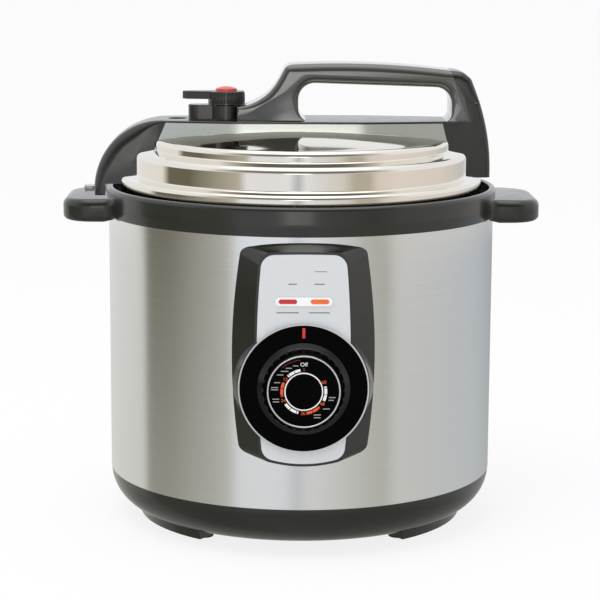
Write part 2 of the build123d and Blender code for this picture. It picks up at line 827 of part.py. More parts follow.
# Plate studs: spacers that stand the plate off the shell's floor
with BuildPart() as plate_studs:
    with Locations((0, 0, shell_floor_top)):
        with PolarLocations(stud_circle_radius, 3, start_angle=30):
            Cylinder(stud_spacer_radius, stud_spacer_height, align=STAND)
            Cylinder(stud_pin_radius, stud_spacer_height + plate_height / 2 - screw_tip_gap, align=STAND)
            Cylinder(stud_pin_radius, shell_floor + stud_tail, align=HANG)
save(plate_studs.part, "plate_studs")

# Sensor plunger: capped probe in the middle of the plate, with a retaining collar below
with BuildPart() as sensor_plunger:
    with BuildSketch(Plane.XZ):
        with BuildLine():
            Polyline(
                (0, plate_top_z),
                (sensor_radius, plate_top_z),
                (sensor_radius, plate_top_z - sensor_cap_height),
                (sensor_stem_radius, plate_top_z - sensor_cap_height),
                (sensor_stem_radius, plate_bottom_z - lift_clearance),
                (sensor_clip_radius, plate_bottom_z - lift_clearance),
                (sensor_clip_radius, plate_bottom_z - lift_clearance - sensor_clip_height),
                (0, plate_bottom_z - lift_clearance - sensor_clip_height),
                close=True,
            )
        make_face()
    revolve(axis=Axis.Z)
save(sensor_plunger.part, "sensor_plunger")

# Sensor spring: the space its closed coils take between the plate's ledge and the cap
sensor_spring_inner = sensor_stem_radius + 2 * lift_clearance
sensor_spring_bottom = plate_bottom_z + sensor_ledge
with BuildPart() as sensor_spring:
    with BuildSketch(Plane.XY.offset(sensor_spring_bottom)):
        Circle(sensor_spring_inner + sensor_spring_wall)
        Circle(sensor_spring_inner, mode=Mode.SUBTRACT)
    extrude(amount=plate_top_z - sensor_cap_height - sensor_spring_bottom)
save(sensor_spring.part, "sensor_spring")

# Thermal cut-out: bimetal switch against the plate's underside
with BuildPart() as thermal_cutout:
    with Locations((0, -cutout_circle_radius, plate_bottom_z)):
        Cylinder(cutout_radius, cutout_height, align=HANG)
save(thermal_cutout.part, "thermal_cutout")

# Pressure switch: box under the shell's floor, hung on its post
with BuildPart() as pressure_switch:
    with Locations((0, -switch_circle_radius, shell_floor_bottom)):
        Cylinder(switch_post_radius, switch_post_height, align=HANG)
    with Locations((0, -switch_circle_radius, shell_floor_bottom - switch_post_height)):
        Box(switch_length, switch_width, switch_height, align=HANG)
save(pressure_switch.part, "pressure_switch")

# Inner pot: spun pot with a turned-out lip that sits on the shell's rim
with BuildPart() as inner_pot:
    with BuildSketch(Plane.XZ):
        with BuildLine():
            pot_outside = Polyline(
                (0, pot_bottom),
                (pot_outer - pot_corner, pot_bottom),
            )
            outer_bend = RadiusArc(
                pot_outside @ 1, (pot_outer, pot_bottom + pot_corner), -pot_corner
            )
            Polyline(
                outer_bend @ 1,
                (pot_outer, rim_top),
                (pot_outer + pot_lip, rim_top),
                (pot_outer + pot_lip, lip_top),
                (pot_radius, lip_top),
                (pot_radius, pot_bottom + pot_corner),
            )
            inner_bend = RadiusArc(
                (pot_radius, pot_bottom + pot_corner),
                (pot_outer - pot_corner, pot_bottom + pot_floor),
                pot_corner - pot_wall,
            )
            Polyline(inner_bend @ 1, (0, pot_bottom + pot_floor), (0, pot_bottom))
        make_face()
    revolve(axis=Axis.Z)
save(inner_pot.part, "inner_pot")

# Lid shell: drawn and polished steel, two tiers under a shallow dome, with a deep skirt inside the collar


def lid_region(shift):
    """Half section of all that lies under the lid's surface, with the surface moved out by this much."""
    tier = upper_tier_radius + shift
    dome_end = tier - lid_edge
    dome_edge = dome_z(dome_end) + shift
    ledge = lower_tier_radius + shift
    rim = lid_rim_radius + shift
    with BuildSketch() as region:
        with BuildLine():
            dome = ThreePointArc(
                (0, lid_centre + shift),
                (dome_end / 2, dome_z(dome_end / 2) + shift),
                (dome_end, dome_edge),
            )
            shoulder = TangentArc(dome @ 1, (tier, dome_edge - lid_edge), tangent=dome % 1)
            wall = Line(shoulder @ 1, (tier, upper_tier_foot + shift))
            step = Line(wall @ 1, (ledge - lid_edge, lower_tier_top + shift))
            bend = TangentArc(step @ 1, (ledge, lower_tier_top + shift - lid_edge), tangent=step % 1)
            low_wall = Line(bend @ 1, (ledge, lower_tier_foot + shift))
            flare = Line(low_wall @ 1, (rim - lid_edge, flange_height + shift))
            roll = TangentArc(flare @ 1, (rim, flange_height + shift - lid_edge), tangent=flare % 1)
            Polyline(roll @ 1, (rim, lid_skirt_bottom), (0, lid_skirt_bottom), (0, lid_centre + shift))
        make_face()
    return region.sketch


strap_screw_places = [
    (-strap_screw_left_offset, strap_screw_side),
    (-strap_screw_left_offset, -strap_screw_side),
    (strap_screw_right_offset, strap_screw_side),
    (strap_screw_right_offset, -strap_screw_side),
]
float_bush_outer = float_radius + running_clearance + float_bush_wall
with BuildPart() as lid_shell:
    with BuildSketch(Plane.XZ):
        add(lid_region(0.0))
    revolve(axis=Axis.Z)
    with BuildSketch(Plane.XZ):
        add(lid_region(-lid_wall))
    revolve(axis=Axis.Z, mode=Mode.SUBTRACT)
    with Locations((valve_x, 0, lid_centre)):
        Cylinder(stem_radius + seat_clearance, lid_drill, mode=Mode.SUBTRACT)
    with Locations((float_x, 0, dome_z(float_x))):
        Cylinder(float_bush_outer + seat_clearance, lid_drill, mode=Mode.SUBTRACT)
    with Locations(*[(x, y, lid_centre) for x, y in strap_screw_places]):
        Cylinder(screw_hole_radius, lid_drill, mode=Mode.SUBTRACT)
save(lid_shell.part, "lid_shell")

# Locking ring: welded inside the lid's skirt, with teeth that stand in the shell's gaps until the lid turns
with BuildPart() as locking_ring:
    with BuildSketch(Plane.XY.offset(lid_skirt_bottom)):
        Circle(locking_ring_inner + locking_ring_wall)
        Circle(locking_ring_inner, mode=Mode.SUBTRACT)
    extrude(amount=locking_ring_height)
    with BuildSketch(Plane.XY.offset(lid_tooth_bottom)):
        for index in range(tooth_count):
            middle = (index + 0.5) * tooth_pitch
            add(ring_sector(lid_tooth_inner, locking_ring_inner + locking_ring_wall / 2, middle, tooth_angle))
    extrude(amount=lid_tooth_thickness)
save(locking_ring.part, "locking_ring")

# Inner cover: pressed plate under the lid, with a rim that locates the sealing ring
cover_rim_outer = pot_radius - cover_rim_gap
with BuildPart() as inner_cover:
    with BuildSketch(Plane.XY.offset(cover_bottom)):
        Circle(cover_radius)
        Circle(grommet_neck_radius + seat_clearance, mode=Mode.SUBTRACT)
        with PolarLocations(steam_hole_circle_radius, steam_hole_count):
            Circle(steam_hole_radius, mode=Mode.SUBTRACT)
    extrude(amount=cover_thickness)
    with BuildSketch(Plane.XY.offset(cover_bottom)):
        Circle(cover_rim_outer)
        Circle(cover_rim_outer - cover_rim_wall, mode=Mode.SUBTRACT)
    extrude(amount=-seal_height)
save(inner_cover.part, "inner_cover")

# Sealing ring: silicone gasket with a lip, between the inner cover and the pot's rim
seal_inner = cover_rim_outer + seat_clearance
seal_outer = seal_inner + seal_width
with BuildPart() as sealing_ring:
    with BuildSketch(Plane.XZ):
        with BuildLine():
            Polyline(
                (seal_inner, seal_bottom),
                (seal_outer, seal_bottom),
                (seal_outer, cover_bottom),
                (seal_inner, cover_bottom),
                (seal_inner, cover_bottom - seal_height / 3),
                (seal_outer - seal_width / 3, cover_bottom - seal_height / 2),
                (seal_inner, seal_bottom + seal_height / 3),
                close=True,
            )
        make_face()
    revolve(axis=Axis.Z)
save(sealing_ring.part, "sealing_ring")

# Cover grommet: rubber bush in the middle of the inner cover
grommet_bottom = cover_bottom - grommet_flange
grommet_top = cover_top + grommet_flange
with BuildPart() as cover_grommet:
    with BuildSketch(Plane.XZ):
        with BuildLine():
            Polyline(
                (stud_radius + lift_clearance, grommet_bottom),
                (grommet_radius, grommet_bottom),
                (grommet_radius, cover_bottom),
                (grommet_neck_radius, cover_bottom),
                (grommet_neck_radius, cover_top),
                (grommet_radius, cover_top),
                (grommet_radius, grommet_top),
                (stud_radius + lift_clearance, grommet_top),
                close=True,
            )
        make_face()
    revolve(axis=Axis.Z)
save(cover_grommet.part, "cover_grommet")

# Cover stud and knob: the stud is welded under the dome, the knob below holds the inner cover on it
cover_knob_top = grommet_bottom - lift_clearance
cover_knob_bottom = cover_knob_top - cover_knob_height
stud_bottom = cover_knob_bottom + cover_knob_end
stud_top = dome_z(stud_flange_radius, lid_wall)
with BuildPart() as cover_stud:
    with Locations((0, 0, stud_bottom)):
        Cylinder(stud_radius, stud_top - stud_bottom, align=STAND)
    with Locations((0, 0, stud_top)):
        Cylinder(stud_flange_radius, stud_flange_thickness, align=HANG)
save(cover_stud.part, "cover_stud")

with BuildPart() as cover_knob:
    with Locations((0, 0, cover_knob_bottom)):
        Cylinder(cover_knob_radius, cover_knob_height, align=STAND)
    fillet(cover_knob.edges().group_by(Axis.Z)[0], cover_knob_edge)
    with Locations((0, 0, stud_bottom)):
        Cylinder(stud_radius + running_clearance, cover_knob_height, align=STAND, mode=Mode.SUBTRACT)
save(cover_knob.part, "cover_knob")

# Lid strap: moulding across the lid, one arm down past the collar on the left, one to the rim on the right
arm_sweep_radius = collar_radius + turn_clearance
arm_sweep_top = collar_top + turn_clearance
arm_diagonal = left_arm_radius * sin(radians(45))
left_edge = -(left_arm_centre + left_arm_radius)
left_turn = strap_top - left_arm_radius
plan_reach = 2 * collar_radius
strap_drop = 2 * lid_drill
horn_middle = (horn_inner + horn_outer) / 2
right_arm_turn = flange_height + right_arm_straight
grip_screw_places = [
    (grip_screw_left, dome_z(grip_screw_left) + lid_clearance + lift_clearance),
    (grip_screw_right, strap_top - grip_screw_right_drop),
]
with BuildPart() as lid_strap:
    with BuildSketch(Plane.XZ):
        with BuildLine():
            Polyline(
                (-left_arm_centre, left_arm_bottom),
                (left_edge, left_arm_bottom),
                (left_edge, left_turn),
            )
            ThreePointArc(
                (left_edge, left_turn),
                (-left_arm_centre - arm_diagonal, left_turn + arm_diagonal),
                (-left_arm_centre, strap_top),
            )
            Polyline((-left_arm_centre, strap_top), (right_arm_shoulder, strap_top), (horn_inner, horn_top))
            ThreePointArc(
                (horn_inner, horn_top),
                (horn_middle, horn_top - horn_dip),
                (horn_outer, horn_top - horn_tilt),
            )
            ThreePointArc(
                (horn_outer, horn_top - horn_tilt),
                (right_arm_reach - right_arm_bow, strap_top - right_arm_bow_drop),
                (right_arm_reach, right_arm_turn),
            )
            Polyline(
                (right_arm_reach, right_arm_turn),
                (right_arm_reach, left_arm_bottom),
                (-left_arm_centre, left_arm_bottom),
            )
        make_face()
    extrude(amount=strap_half_width, both=True)
    with BuildSketch() as strap_plan:
        with BuildLine():
            Polyline(
                (-plan_reach, -strap_end_half_width),
                (-strap_taper_end, -strap_end_half_width),
                (-strap_taper_start, -strap_half_width),
                (strap_taper_start, -strap_half_width),
                (strap_taper_end, -strap_end_half_width),
                (plan_reach, -strap_end_half_width),
                (plan_reach, strap_end_half_width),
                (strap_taper_end, strap_end_half_width),
                (strap_taper_start, strap_half_width),
                (-strap_taper_start, strap_half_width),
                (-strap_taper_end, strap_end_half_width),
                (-plan_reach, strap_end_half_width),
                close=True,
            )
        make_face()
        fillet([v for v in strap_plan.vertices() if abs(v.X) < collar_radius], strap_blend)
    extrude(amount=grip_top, mode=Mode.INTERSECT)
    top_edges = [
        e
        for e in lid_strap.edges()
        if abs(e.center().Y) > strap_end_half_width / 2
        and left_arm_bottom + pick_margin < e.center().Z < strap_top + pick_margin
        and (e.center().Z > strap_top - pick_margin or e.center().X < -left_arm_centre)
    ]
    fillet(top_edges, strap_edge)
    with BuildSketch(Plane.XZ):
        add(lid_region(lid_clearance))
    revolve(axis=Axis.Z, mode=Mode.SUBTRACT)
    Cylinder(arm_sweep_radius, arm_sweep_top, align=STAND, mode=Mode.SUBTRACT)
    with Locations((valve_x, 0, strap_top)):
        Cylinder(stem_radius + seat_clearance, strap_drop, align=HANG, mode=Mode.SUBTRACT)
    with Locations((valve_x, 0, strap_top - nut_pocket_roof)):
        Cylinder(nut_across_flats * nut_pocket_room, strap_drop, align=HANG, mode=Mode.SUBTRACT)
    with Locations((float_x, 0, strap_top)):
        Cylinder(float_bush_outer + seat_clearance, strap_drop, align=HANG, mode=Mode.SUBTRACT)
    with Locations(*[(x, y, strap_top - strap_screw_cover) for x, y in strap_screw_places]):
        Cylinder(screw_hole_radius, strap_drop, align=HANG, mode=Mode.SUBTRACT)
    with Locations(*[(x, 0, strap_top) for x, _ in grip_screw_places]):
        Cylinder(screw_hole_radius, strap_drop, align=HANG, mode=Mode.SUBTRACT)
    with Locations(*[(x, 0, z + screw_head_height) for x, z in grip_screw_places]):
        Cylinder(screw_head_radius + seat_clearance, strap_drop, align=HANG, mode=Mode.SUBTRACT)
save(lid_strap.part, "lid_strap")

# Strap screws: from under the lid into the strap
with BuildPart() as strap_screws:
    for x, y in strap_screw_places:
        under = dome_z(sqrt(x**2 + y**2) + screw_head_radius, lid_wall) - seat_gap
        with Locations((x, y, under)):
            Cylinder(screw_head_radius, screw_head_height, align=HANG)
            Cylinder(screw_radius, strap_top - strap_screw_cover - screw_tip_gap - under, align=STAND)
save(strap_screws.part, "strap_screws")

# Loop handle: stands on the strap, with a swept front leg and a tail round the valve
with BuildPart() as lid_grip:
    with BuildSketch(Plane.XZ):
        with BuildLine():
            tail = Polyline(
                (right_arm_shoulder - seam, strap_top),
                (grip_tail, strap_top),
                (grip_tail, strap_top + tail_height),
            )
            leg = Spline(
                tail @ 1,
                leg_middle,
                leg_top,
                tangents=((1, leg_foot), (grip_nose[0] - leg_top[0], 2 * (grip_nose[0] - leg_top[0]))),
            )
            nose = TangentArc(leg @ 1, grip_nose, tangent=leg % 1)
            ThreePointArc(nose @ 1, (grip_crown_offset, grip_top), seam_line[0])
            joint_line = Spline(*seam_line, (horn_inner - seam, horn_top))
            Line(joint_line @ 1, (right_arm_shoulder - seam, strap_top))
        make_face()
        with BuildLine():
            Polyline(
                (opening_left, strap_top - cut_past),
                (opening_right, strap_top - cut_past),
                (opening_right, opening_top - opening_slope),
                (opening_left, opening_top),
                close=True,
            )
        make_face(mode=Mode.SUBTRACT)
    extrude(amount=grip_half_width, both=True)
    inner_corners = [
        e
        for e in lid_grip.edges().filter_by(Axis.Y)
        if opening_left - pick_margin < e.center().X < opening_right + pick_margin
        and strap_top + pick_margin < e.center().Z < opening_top + pick_margin
    ]
    fillet(inner_corners, opening_end_radius)
    flank_edges = [e for e in lid_grip.edges() if abs(abs(e.center().Y) - grip_half_width) < 0.01]
    opening_edges = [
        e
        for e in flank_edges
        if opening_left - pick_margin < e.center().X < opening_right + pick_margin
        and strap_top + pick_margin < e.center().Z < opening_top + pick_margin
    ]
    fillet(opening_edges, grip_opening_edge)
    crown_edges = [
        e
        for e in lid_grip.edges()
        if abs(abs(e.center().Y) - grip_half_width) < 0.01
        and e.center().Z > strap_top + tail_height
        and e.center().X < seam_line[0][0]
        and (e.center().Z > opening_top + 2 * grip_opening_edge or e.center().X < grip_nose[0])
    ]
    fillet(crown_edges, grip_crown_edge)
    with Locations((valve_x, 0, strap_top)):
        Cylinder(valve_radius + valve_bay, tail_height + valve_cap_height, align=STAND, mode=Mode.SUBTRACT)
    with Locations(*[(x, 0, strap_top) for x, _ in grip_screw_places]):
        Cylinder(screw_hole_radius, grip_screw_length, align=STAND, mode=Mode.SUBTRACT)
save(lid_grip.part, "lid_grip")

# Grip end cover: cap over the loop's outer corner, between the loop and the right arm
with BuildPart() as grip_end_cover:
    with BuildSketch(Plane.XZ):
        with BuildLine():
            cover_seam = Spline(*[(x + seam, z) for x, z in seam_line], (horn_inner, horn_top + seam))
            cover_foot = ThreePointArc(
                cover_seam @ 1,
                (horn_middle, horn_top - horn_dip + seam),
                (horn_outer, horn_top - horn_tilt + seam),
            )
            back = Line(cover_foot @ 1, end_cover_back)
            corner = TangentArc(back @ 1, end_cover_corner, tangent=back % 1)
            Line(corner @ 1, cover_seam @ 0)
        make_face()
    extrude(amount=grip_half_width + end_cover_proud, both=True)
save(grip_end_cover.part, "grip_end_cover")

# Grip screws: from pockets in the strap's underside up into the loop's legs
with BuildPart() as grip_screws:
    for x, head_bottom in grip_screw_places:
        with Locations((x, 0, head_bottom)):
            Cylinder(screw_head_radius, screw_head_height, align=STAND)
            Cylinder(
                screw_radius, strap_top + grip_screw_length - screw_tip_gap - head_bottom, align=STAND
            )
save(grip_screws.part, "grip_screws")

# Vent stem: flanged tube through the lid and the strap, with the valve's seat at its top
stem_flange_top = dome_z(abs(valve_x) + stem_flange_radius, lid_wall) - seat_gap
stem_bottom = stem_flange_top - stem_drop
cap_bottom = strap_top + valve_base_height + valve_cap_gap
cap_top = cap_bottom + valve_cap_height
stem_top = cap_bottom + stem_rise
with BuildPart() as vent_stem:
    with Locations((valve_x, 0, stem_bottom)):
        Cylinder(stem_radius, stem_top - stem_bottom, align=STAND)
    with Locations((valve_x, 0, stem_flange_top)):
        Cylinder(stem_flange_radius, stem_flange_thickness, align=HANG)
    with Locations((valve_x, 0, stem_bottom)):
        Cylinder(stem_bore, stem_top - stem_bottom, align=STAND, mode=Mode.SUBTRACT)
save(vent_stem.part, "vent_stem")

# Vent nut: clamps the stem to the lid, in a pocket under the strap
nut_inner_reach = abs(valve_x) - nut_across_flats * nut_pocket_room
with BuildPart() as vent_nut:
    with BuildSketch(Plane(origin=(valve_x, 0, dome_z(nut_inner_reach) + seat_gap))):
        RegularPolygon(nut_across_flats / 2, 6, major_radius=False)
        Circle(stem_radius + running_clearance, mode=Mode.SUBTRACT)
    extrude(amount=nut_height)
save(vent_nut.part, "vent_nut")

# Anti-block cap: slotted cup round the lower end of the stem
block_cap_top = stem_flange_top - stem_flange_thickness
with BuildPart() as anti_block_cap:
    with Locations((valve_x, 0, block_cap_top)):
        Cylinder(block_cap_radius, block_cap_height, align=HANG)
    with Locations((valve_x, 0, block_cap_top - block_cap_wall)):
        Cylinder(
            block_cap_radius - block_cap_wall,
            block_cap_height - 2 * block_cap_wall,
            align=HANG,
            mode=Mode.SUBTRACT,
        )
    with Locations((valve_x, 0, block_cap_top)):
        Cylinder(stem_radius + running_clearance, block_cap_wall, align=HANG, mode=Mode.SUBTRACT)
    with Locations((valve_x, 0, block_cap_top - block_cap_height / 2)):
        with PolarLocations(block_cap_radius, block_slot_count):
            Box(4 * block_cap_wall, block_slot_width, block_cap_height / 2, mode=Mode.SUBTRACT)
save(anti_block_cap.part, "anti_block_cap")

# Valve base: round socket on the strap, with a guard that runs to the left
guard_round = guard_end - guard_half_width
with BuildPart() as valve_base:
    with BuildSketch(Plane(origin=(valve_x, 0, strap_top))):
        Circle(valve_radius - valve_base_inset)
        with Locations((-guard_round, 0)):
            Circle(guard_half_width)
        with Locations((-guard_round / 2, 0)):
            Rectangle(guard_round, 2 * guard_half_width)
        Circle(stem_radius + seat_clearance, mode=Mode.SUBTRACT)
    extrude(amount=valve_base_height)
    fillet(valve_base.edges().group_by(Axis.Z)[-1].sort_by(SortBy.LENGTH)[1:], valve_base_inset)
save(valve_base.part, "valve_base")

# Pressure valve: turning cap on the stem, with a lever to the left and a well for the button
with BuildPart() as pressure_valve:
    with Locations((valve_x, 0, cap_bottom)):
        Cylinder(valve_radius, valve_cap_height, align=STAND)
    with BuildSketch(Plane(origin=(valve_x, 0, cap_top))):
        with BuildLine():
            Polyline(
                (0, -lever_half_width - lever_root),
                (-lever_reach + lever_tip, -lever_half_width + lever_tip_narrow),
                (-lever_reach, 0),
                (-lever_reach + lever_tip, lever_half_width - lever_tip_narrow),
                (0, lever_half_width + lever_root),
                close=True,
            )
        make_face()
    extrude(amount=-lever_thickness)
    fillet(pressure_valve.edges().group_by(Axis.Z)[-1], valve_edge)
    with Locations((valve_x, 0, stem_top + lift_clearance)):
        Cylinder(stem_radius + running_clearance, valve_cap_height, align=HANG, mode=Mode.SUBTRACT)
    with Locations((valve_x, 0, cap_top)):
        Cylinder(button_radius + lift_clearance, button_well, align=HANG, mode=Mode.SUBTRACT)
        Cylinder(button_stem_radius + running_clearance, valve_cap_height, align=HANG, mode=Mode.SUBTRACT)
save(pressure_valve.part, "pressure_valve")

# Release button: cap that is pressed down against its spring
button_seat = cap_top - button_well
button_bottom = button_seat + button_spring_length
button_top = cap_top + button_rise
with BuildPart() as release_button:
    with BuildSketch(Plane(origin=(valve_x, 0, 0), x_dir=(1, 0, 0), z_dir=(0, -1, 0))):
        with BuildLine():
            button_crown = TangentArc(
                (0, button_top), (button_radius, button_top - button_dome), tangent=(1, 0)
            )
            Polyline(
                button_crown @ 1,
                (button_radius, button_bottom),
                (button_stem_radius, button_bottom),
                (button_stem_radius, button_seat - button_stem_drop),
                (0, button_seat - button_stem_drop),
                (0, button_top),
            )
        make_face()
    revolve(axis=Axis((valve_x, 0, 0), (0, 0, 1)))
save(release_button.part, "release_button")

# Button spring: the space its coils take in the well
button_spring_inner = button_stem_radius + lift_clearance
with BuildPart() as button_spring:
    with BuildSketch(Plane(origin=(valve_x, 0, button_seat))):
        Circle(button_spring_inner + button_spring_wall)
        Circle(button_spring_inner, mode=Mode.SUBTRACT)
    extrude(amount=button_spring_length)
save(button_spring.part, "button_spring")

# Float valve: bush through lid and strap, and a pin that rises in it under pressure
bush_bottom = dome_z(abs(float_x) + float_seal_radius, lid_wall) - seat_gap - float_bush_flange
with BuildPart() as float_bush:
    with Locations((float_x, 0, bush_bottom)):
        Cylinder(float_bush_outer, float_bush_top - bush_bottom, align=STAND)
        Cylinder(float_seal_radius, float_bush_flange, align=STAND)
        Cylinder(
            float_radius + running_clearance, float_bush_top - bush_bottom, align=STAND, mode=Mode.SUBTRACT
        )
save(float_bush.part, "float_bush")

float_seal_bottom = bush_bottom - float_travel - lift_clearance - float_seal_height
with BuildPart() as float_pin:
    with Locations((float_x, 0, float_seal_bottom)):
        Cylinder(float_radius, float_bush_top - float_seal_bottom, align=STAND)
        Cylinder(float_seal_radius - float_foot_inset, float_foot, align=HANG)
    with Locations((float_x, 0, float_bush_top)):
        Cylinder(float_head_radius, float_head_height, align=STAND)
save(float_pin.part, "float_pin")

with BuildPart() as float_seal:
    with BuildSketch(Plane(origin=(float_x, 0, float_seal_bottom))):
        Circle(float_seal_radius)
        Circle(float_radius + seat_clearance, mode=Mode.SUBTRACT)
    extrude(amount=float_seal_height)
save(float_seal.part, "float_seal")

# Panel bezel: raised frame, hollow behind, with round shoulders under the dial


def plate_outline(grow):
    """Outline of the light face plate, grown all round by this much."""
    return bowed_outline(
        plate_half_top + grow,
        plate_half_mid + grow,
        plate_half_low + grow,
        plate_top + grow,
        plate_bottom - grow,
        plate_top_rise,
        plate_bottom_drop,
        plate_corner,
    )


dial_seat_radius = dial_radius + dial_ring_width + dial_seat_margin
pocket_front = panel_face - panel_wall
window_back = panel_face - plate_thickness
timer_screw_spots = [(timer_screw_offset, dial_height), (-timer_screw_offset, dial_height)]
with BuildPart() as panel_bezel:
    with BuildSketch(front_plane(panel_face - panel_back_depth)):
        add(
            bowed_outline(
                panel_half_top,
                panel_half_mid,
                panel_half_low,
                panel_top,
                panel_bottom,
                panel_top_rise,
                panel_bottom_drop,
                panel_corner,
            )
        )
    with BuildSketch(front_plane(panel_face)):
        add(plate_outline(plate_border))
    loft()
    with BuildSketch(front_plane(panel_face - dial_seat_depth, dial_height)):
        Circle(dial_seat_radius + dial_seat_flare)
    extrude(amount=dial_seat_depth, taper=degrees(asin(dial_seat_flare / dial_seat_depth)))
    Cylinder(body_radius + seat_clearance, collar_top, align=STAND, mode=Mode.SUBTRACT)
    with BuildSketch(front_plane(0)):
        with Locations((0, dial_height)):
            Rectangle(timer_size + 2 * pocket_room, timer_size + 2 * pocket_room)
        with Locations((0, indicator_height)):
            Rectangle(board_length + 2 * pocket_room, board_width + 2 * pocket_room)
    extrude(amount=pocket_front, mode=Mode.SUBTRACT)
    with BuildSketch(front_plane(window_back)):
        add(plate_outline(seat_clearance))
    extrude(amount=plate_thickness, mode=Mode.SUBTRACT)
    with BuildSketch(front_plane(0)):
        with Locations((0, indicator_height)):
            Rectangle(indicator_length - 2 * light_slot_margin, indicator_width - 2 * light_slot_trim)
        with Locations((0, dial_height)):
            Circle(shaft_radius + shaft_room)
        with Locations(*timer_screw_spots):
            Circle(screw_hole_radius)
    extrude(amount=panel_face, mode=Mode.SUBTRACT)
save(panel_bezel.part, "panel_bezel")

# Face plate: light plate let into the bezel, which runs on behind the dial
with BuildPart() as face_plate:
    with BuildSketch(front_plane(window_back)):
        add(plate_outline(0.0))
        with Locations((0, dial_height)):
            Circle(shaft_radius + shaft_room, mode=Mode.SUBTRACT)
        with Locations(*timer_screw_spots):
            Circle(screw_head_radius + seat_clearance, mode=Mode.SUBTRACT)
        with Locations((0, indicator_height)):
            SlotOverall(
                indicator_length + 2 * indicator_fit, indicator_width + 2 * indicator_fit, mode=Mode.SUBTRACT
            )
    extrude(amount=plate_thickness)
save(face_plate.part, "face_plate")

# Indicator window with its two lenses
with BuildPart() as indicator_window:
    with BuildSketch(front_plane(window_back, indicator_height)):
        SlotOverall(indicator_length, indicator_width)
        with Locations((lens_offset, 0), (-lens_offset, 0)):
            SlotOverall(lens_length + 2 * indicator_fit, lens_width + 2 * indicator_fit, mode=Mode.SUBTRACT)
    extrude(amount=indicator_thickness)
save(indicator_window.part, "indicator_window")

for side, name in ((-1, "lens_red"), (1, "lens_orange")):
    with BuildPart() as lens:
        with BuildSketch(front_plane(window_back, indicator_height)):
            with Locations((side * lens_offset, 0)):
                SlotOverall(lens_length, lens_width)
        extrude(amount=indicator_thickness + lens_proud)
    save(lens.part, name)

# Lamp board: carrier behind the window, on two posts against the bezel, with a lamp behind each lens
board_front = pocket_front - board_stand
post_offset = board_width / 2 - board_post_inset
with BuildPart() as lamp_board:
    with BuildSketch(front_plane(board_front, indicator_height)):
        Rectangle(board_length, board_width)
    extrude(amount=-board_thickness)
    with BuildSketch(front_plane(board_front, indicator_height)):
        with Locations((0, post_offset), (0, -post_offset)):
            Circle(board_post_radius)
    extrude(amount=board_stand)
    with BuildSketch(front_plane(board_front, indicator_height)):
        with Locations((lens_offset, 0), (-lens_offset, 0)):
            Circle(lamp_radius)
    extrude(amount=window_back - lamp_gap - board_front)
save(lamp_board.part, "lamp_board")

# Dial disc and its trim ring, on the face plate and the bezel's shoulders
with BuildPart() as dial_disc:
    with BuildSketch(front_plane(panel_face, dial_height)):
        Circle(dial_radius)
        Circle(shaft_radius + shaft_room, mode=Mode.SUBTRACT)
    extrude(amount=dial_thickness)
save(dial_disc.part, "dial_disc")

with BuildPart() as dial_ring:
    with BuildSketch(front_plane(panel_face, dial_height)):
        Circle(dial_radius + seat_clearance + dial_ring_width)
        Circle(dial_radius + seat_clearance, mode=Mode.SUBTRACT)
    extrude(amount=dial_thickness + dial_ring_proud)
save(dial_ring.part, "dial_ring")

# Knob: skirted timer knob with a fluted grip and a dished face for the scale
knob_back = dial_front + lift_clearance
shaft_end = knob_height - knob_cover
dish_radius = knob_face_radius - knob_face_rim - knob_dish_wall
with BuildPart() as knob:
    with BuildSketch(Plane(origin=(0, -knob_back, dial_height), x_dir=(1, 0, 0), z_dir=(0, 0, -1))):
        with BuildLine():
            Polyline(
                (0, 0),
                (knob_base_radius, 0),
                (knob_base_radius, knob_skirt_edge),
                (knob_grip_radius + knob_bevel, knob_skirt_height),
                (knob_grip_radius, knob_skirt_height + knob_bevel),
                (knob_face_radius + knob_bevel, knob_height - knob_bevel),
                (knob_face_radius, knob_height),
                (knob_face_radius - knob_face_rim, knob_height),
                (dish_radius, knob_height - knob_dish),
                (0, knob_height - knob_dish),
                close=True,
            )
        make_face()
    revolve(axis=Axis((0, 0, dial_height), (0, -1, 0)))
    with BuildSketch(front_plane(knob_back + knob_skirt_height + knob_bevel / 2, dial_height)):
        with PolarLocations(knob_grip_radius + knob_flute_offset, knob_flute_count):
            Circle(knob_flute_radius)
    extrude(amount=knob_height, mode=Mode.SUBTRACT)
    with BuildSketch(front_plane(knob_back, dial_height)):
        Circle(shaft_radius + running_clearance)
    extrude(amount=shaft_end, mode=Mode.SUBTRACT)
save(knob.part, "knob")

# Timer: clockwork case behind the bezel, its shaft in the knob, two screws through the bezel
timer_hole_start = pocket_front - shaft_depth
with BuildPart() as timer_case:
    with BuildSketch(front_plane(pocket_front - timer_depth, dial_height)):
        RectangleRounded(timer_size, timer_size, timer_corner)
    extrude(amount=timer_depth)
    with BuildSketch(front_plane(timer_hole_start)):
        with Locations((0, dial_height)):
            Circle(shaft_radius + running_clearance)
        with Locations(*timer_screw_spots):
            Circle(screw_hole_radius)
    extrude(amount=shaft_depth, mode=Mode.SUBTRACT)
save(timer_case.part, "timer_case")

with BuildPart() as timer_shaft:
    with BuildSketch(front_plane(timer_hole_start, dial_height)):
        Circle(shaft_radius)
    extrude(amount=knob_back + shaft_end - timer_hole_start)
save(timer_shaft.part, "timer_shaft")

with BuildPart() as timer_screws:
    with BuildSketch(front_plane(window_back)):
        with Locations(*timer_screw_spots):
            Circle(screw_radius)
    extrude(amount=timer_hole_start + screw_tip_gap - window_back)
    with BuildSketch(front_plane(window_back)):
        with Locations(*timer_screw_spots):
            Circle(screw_head_radius)
    extrude(amount=plate_thickness - seat_gap)
save(timer_screws.part, "timer_screws")

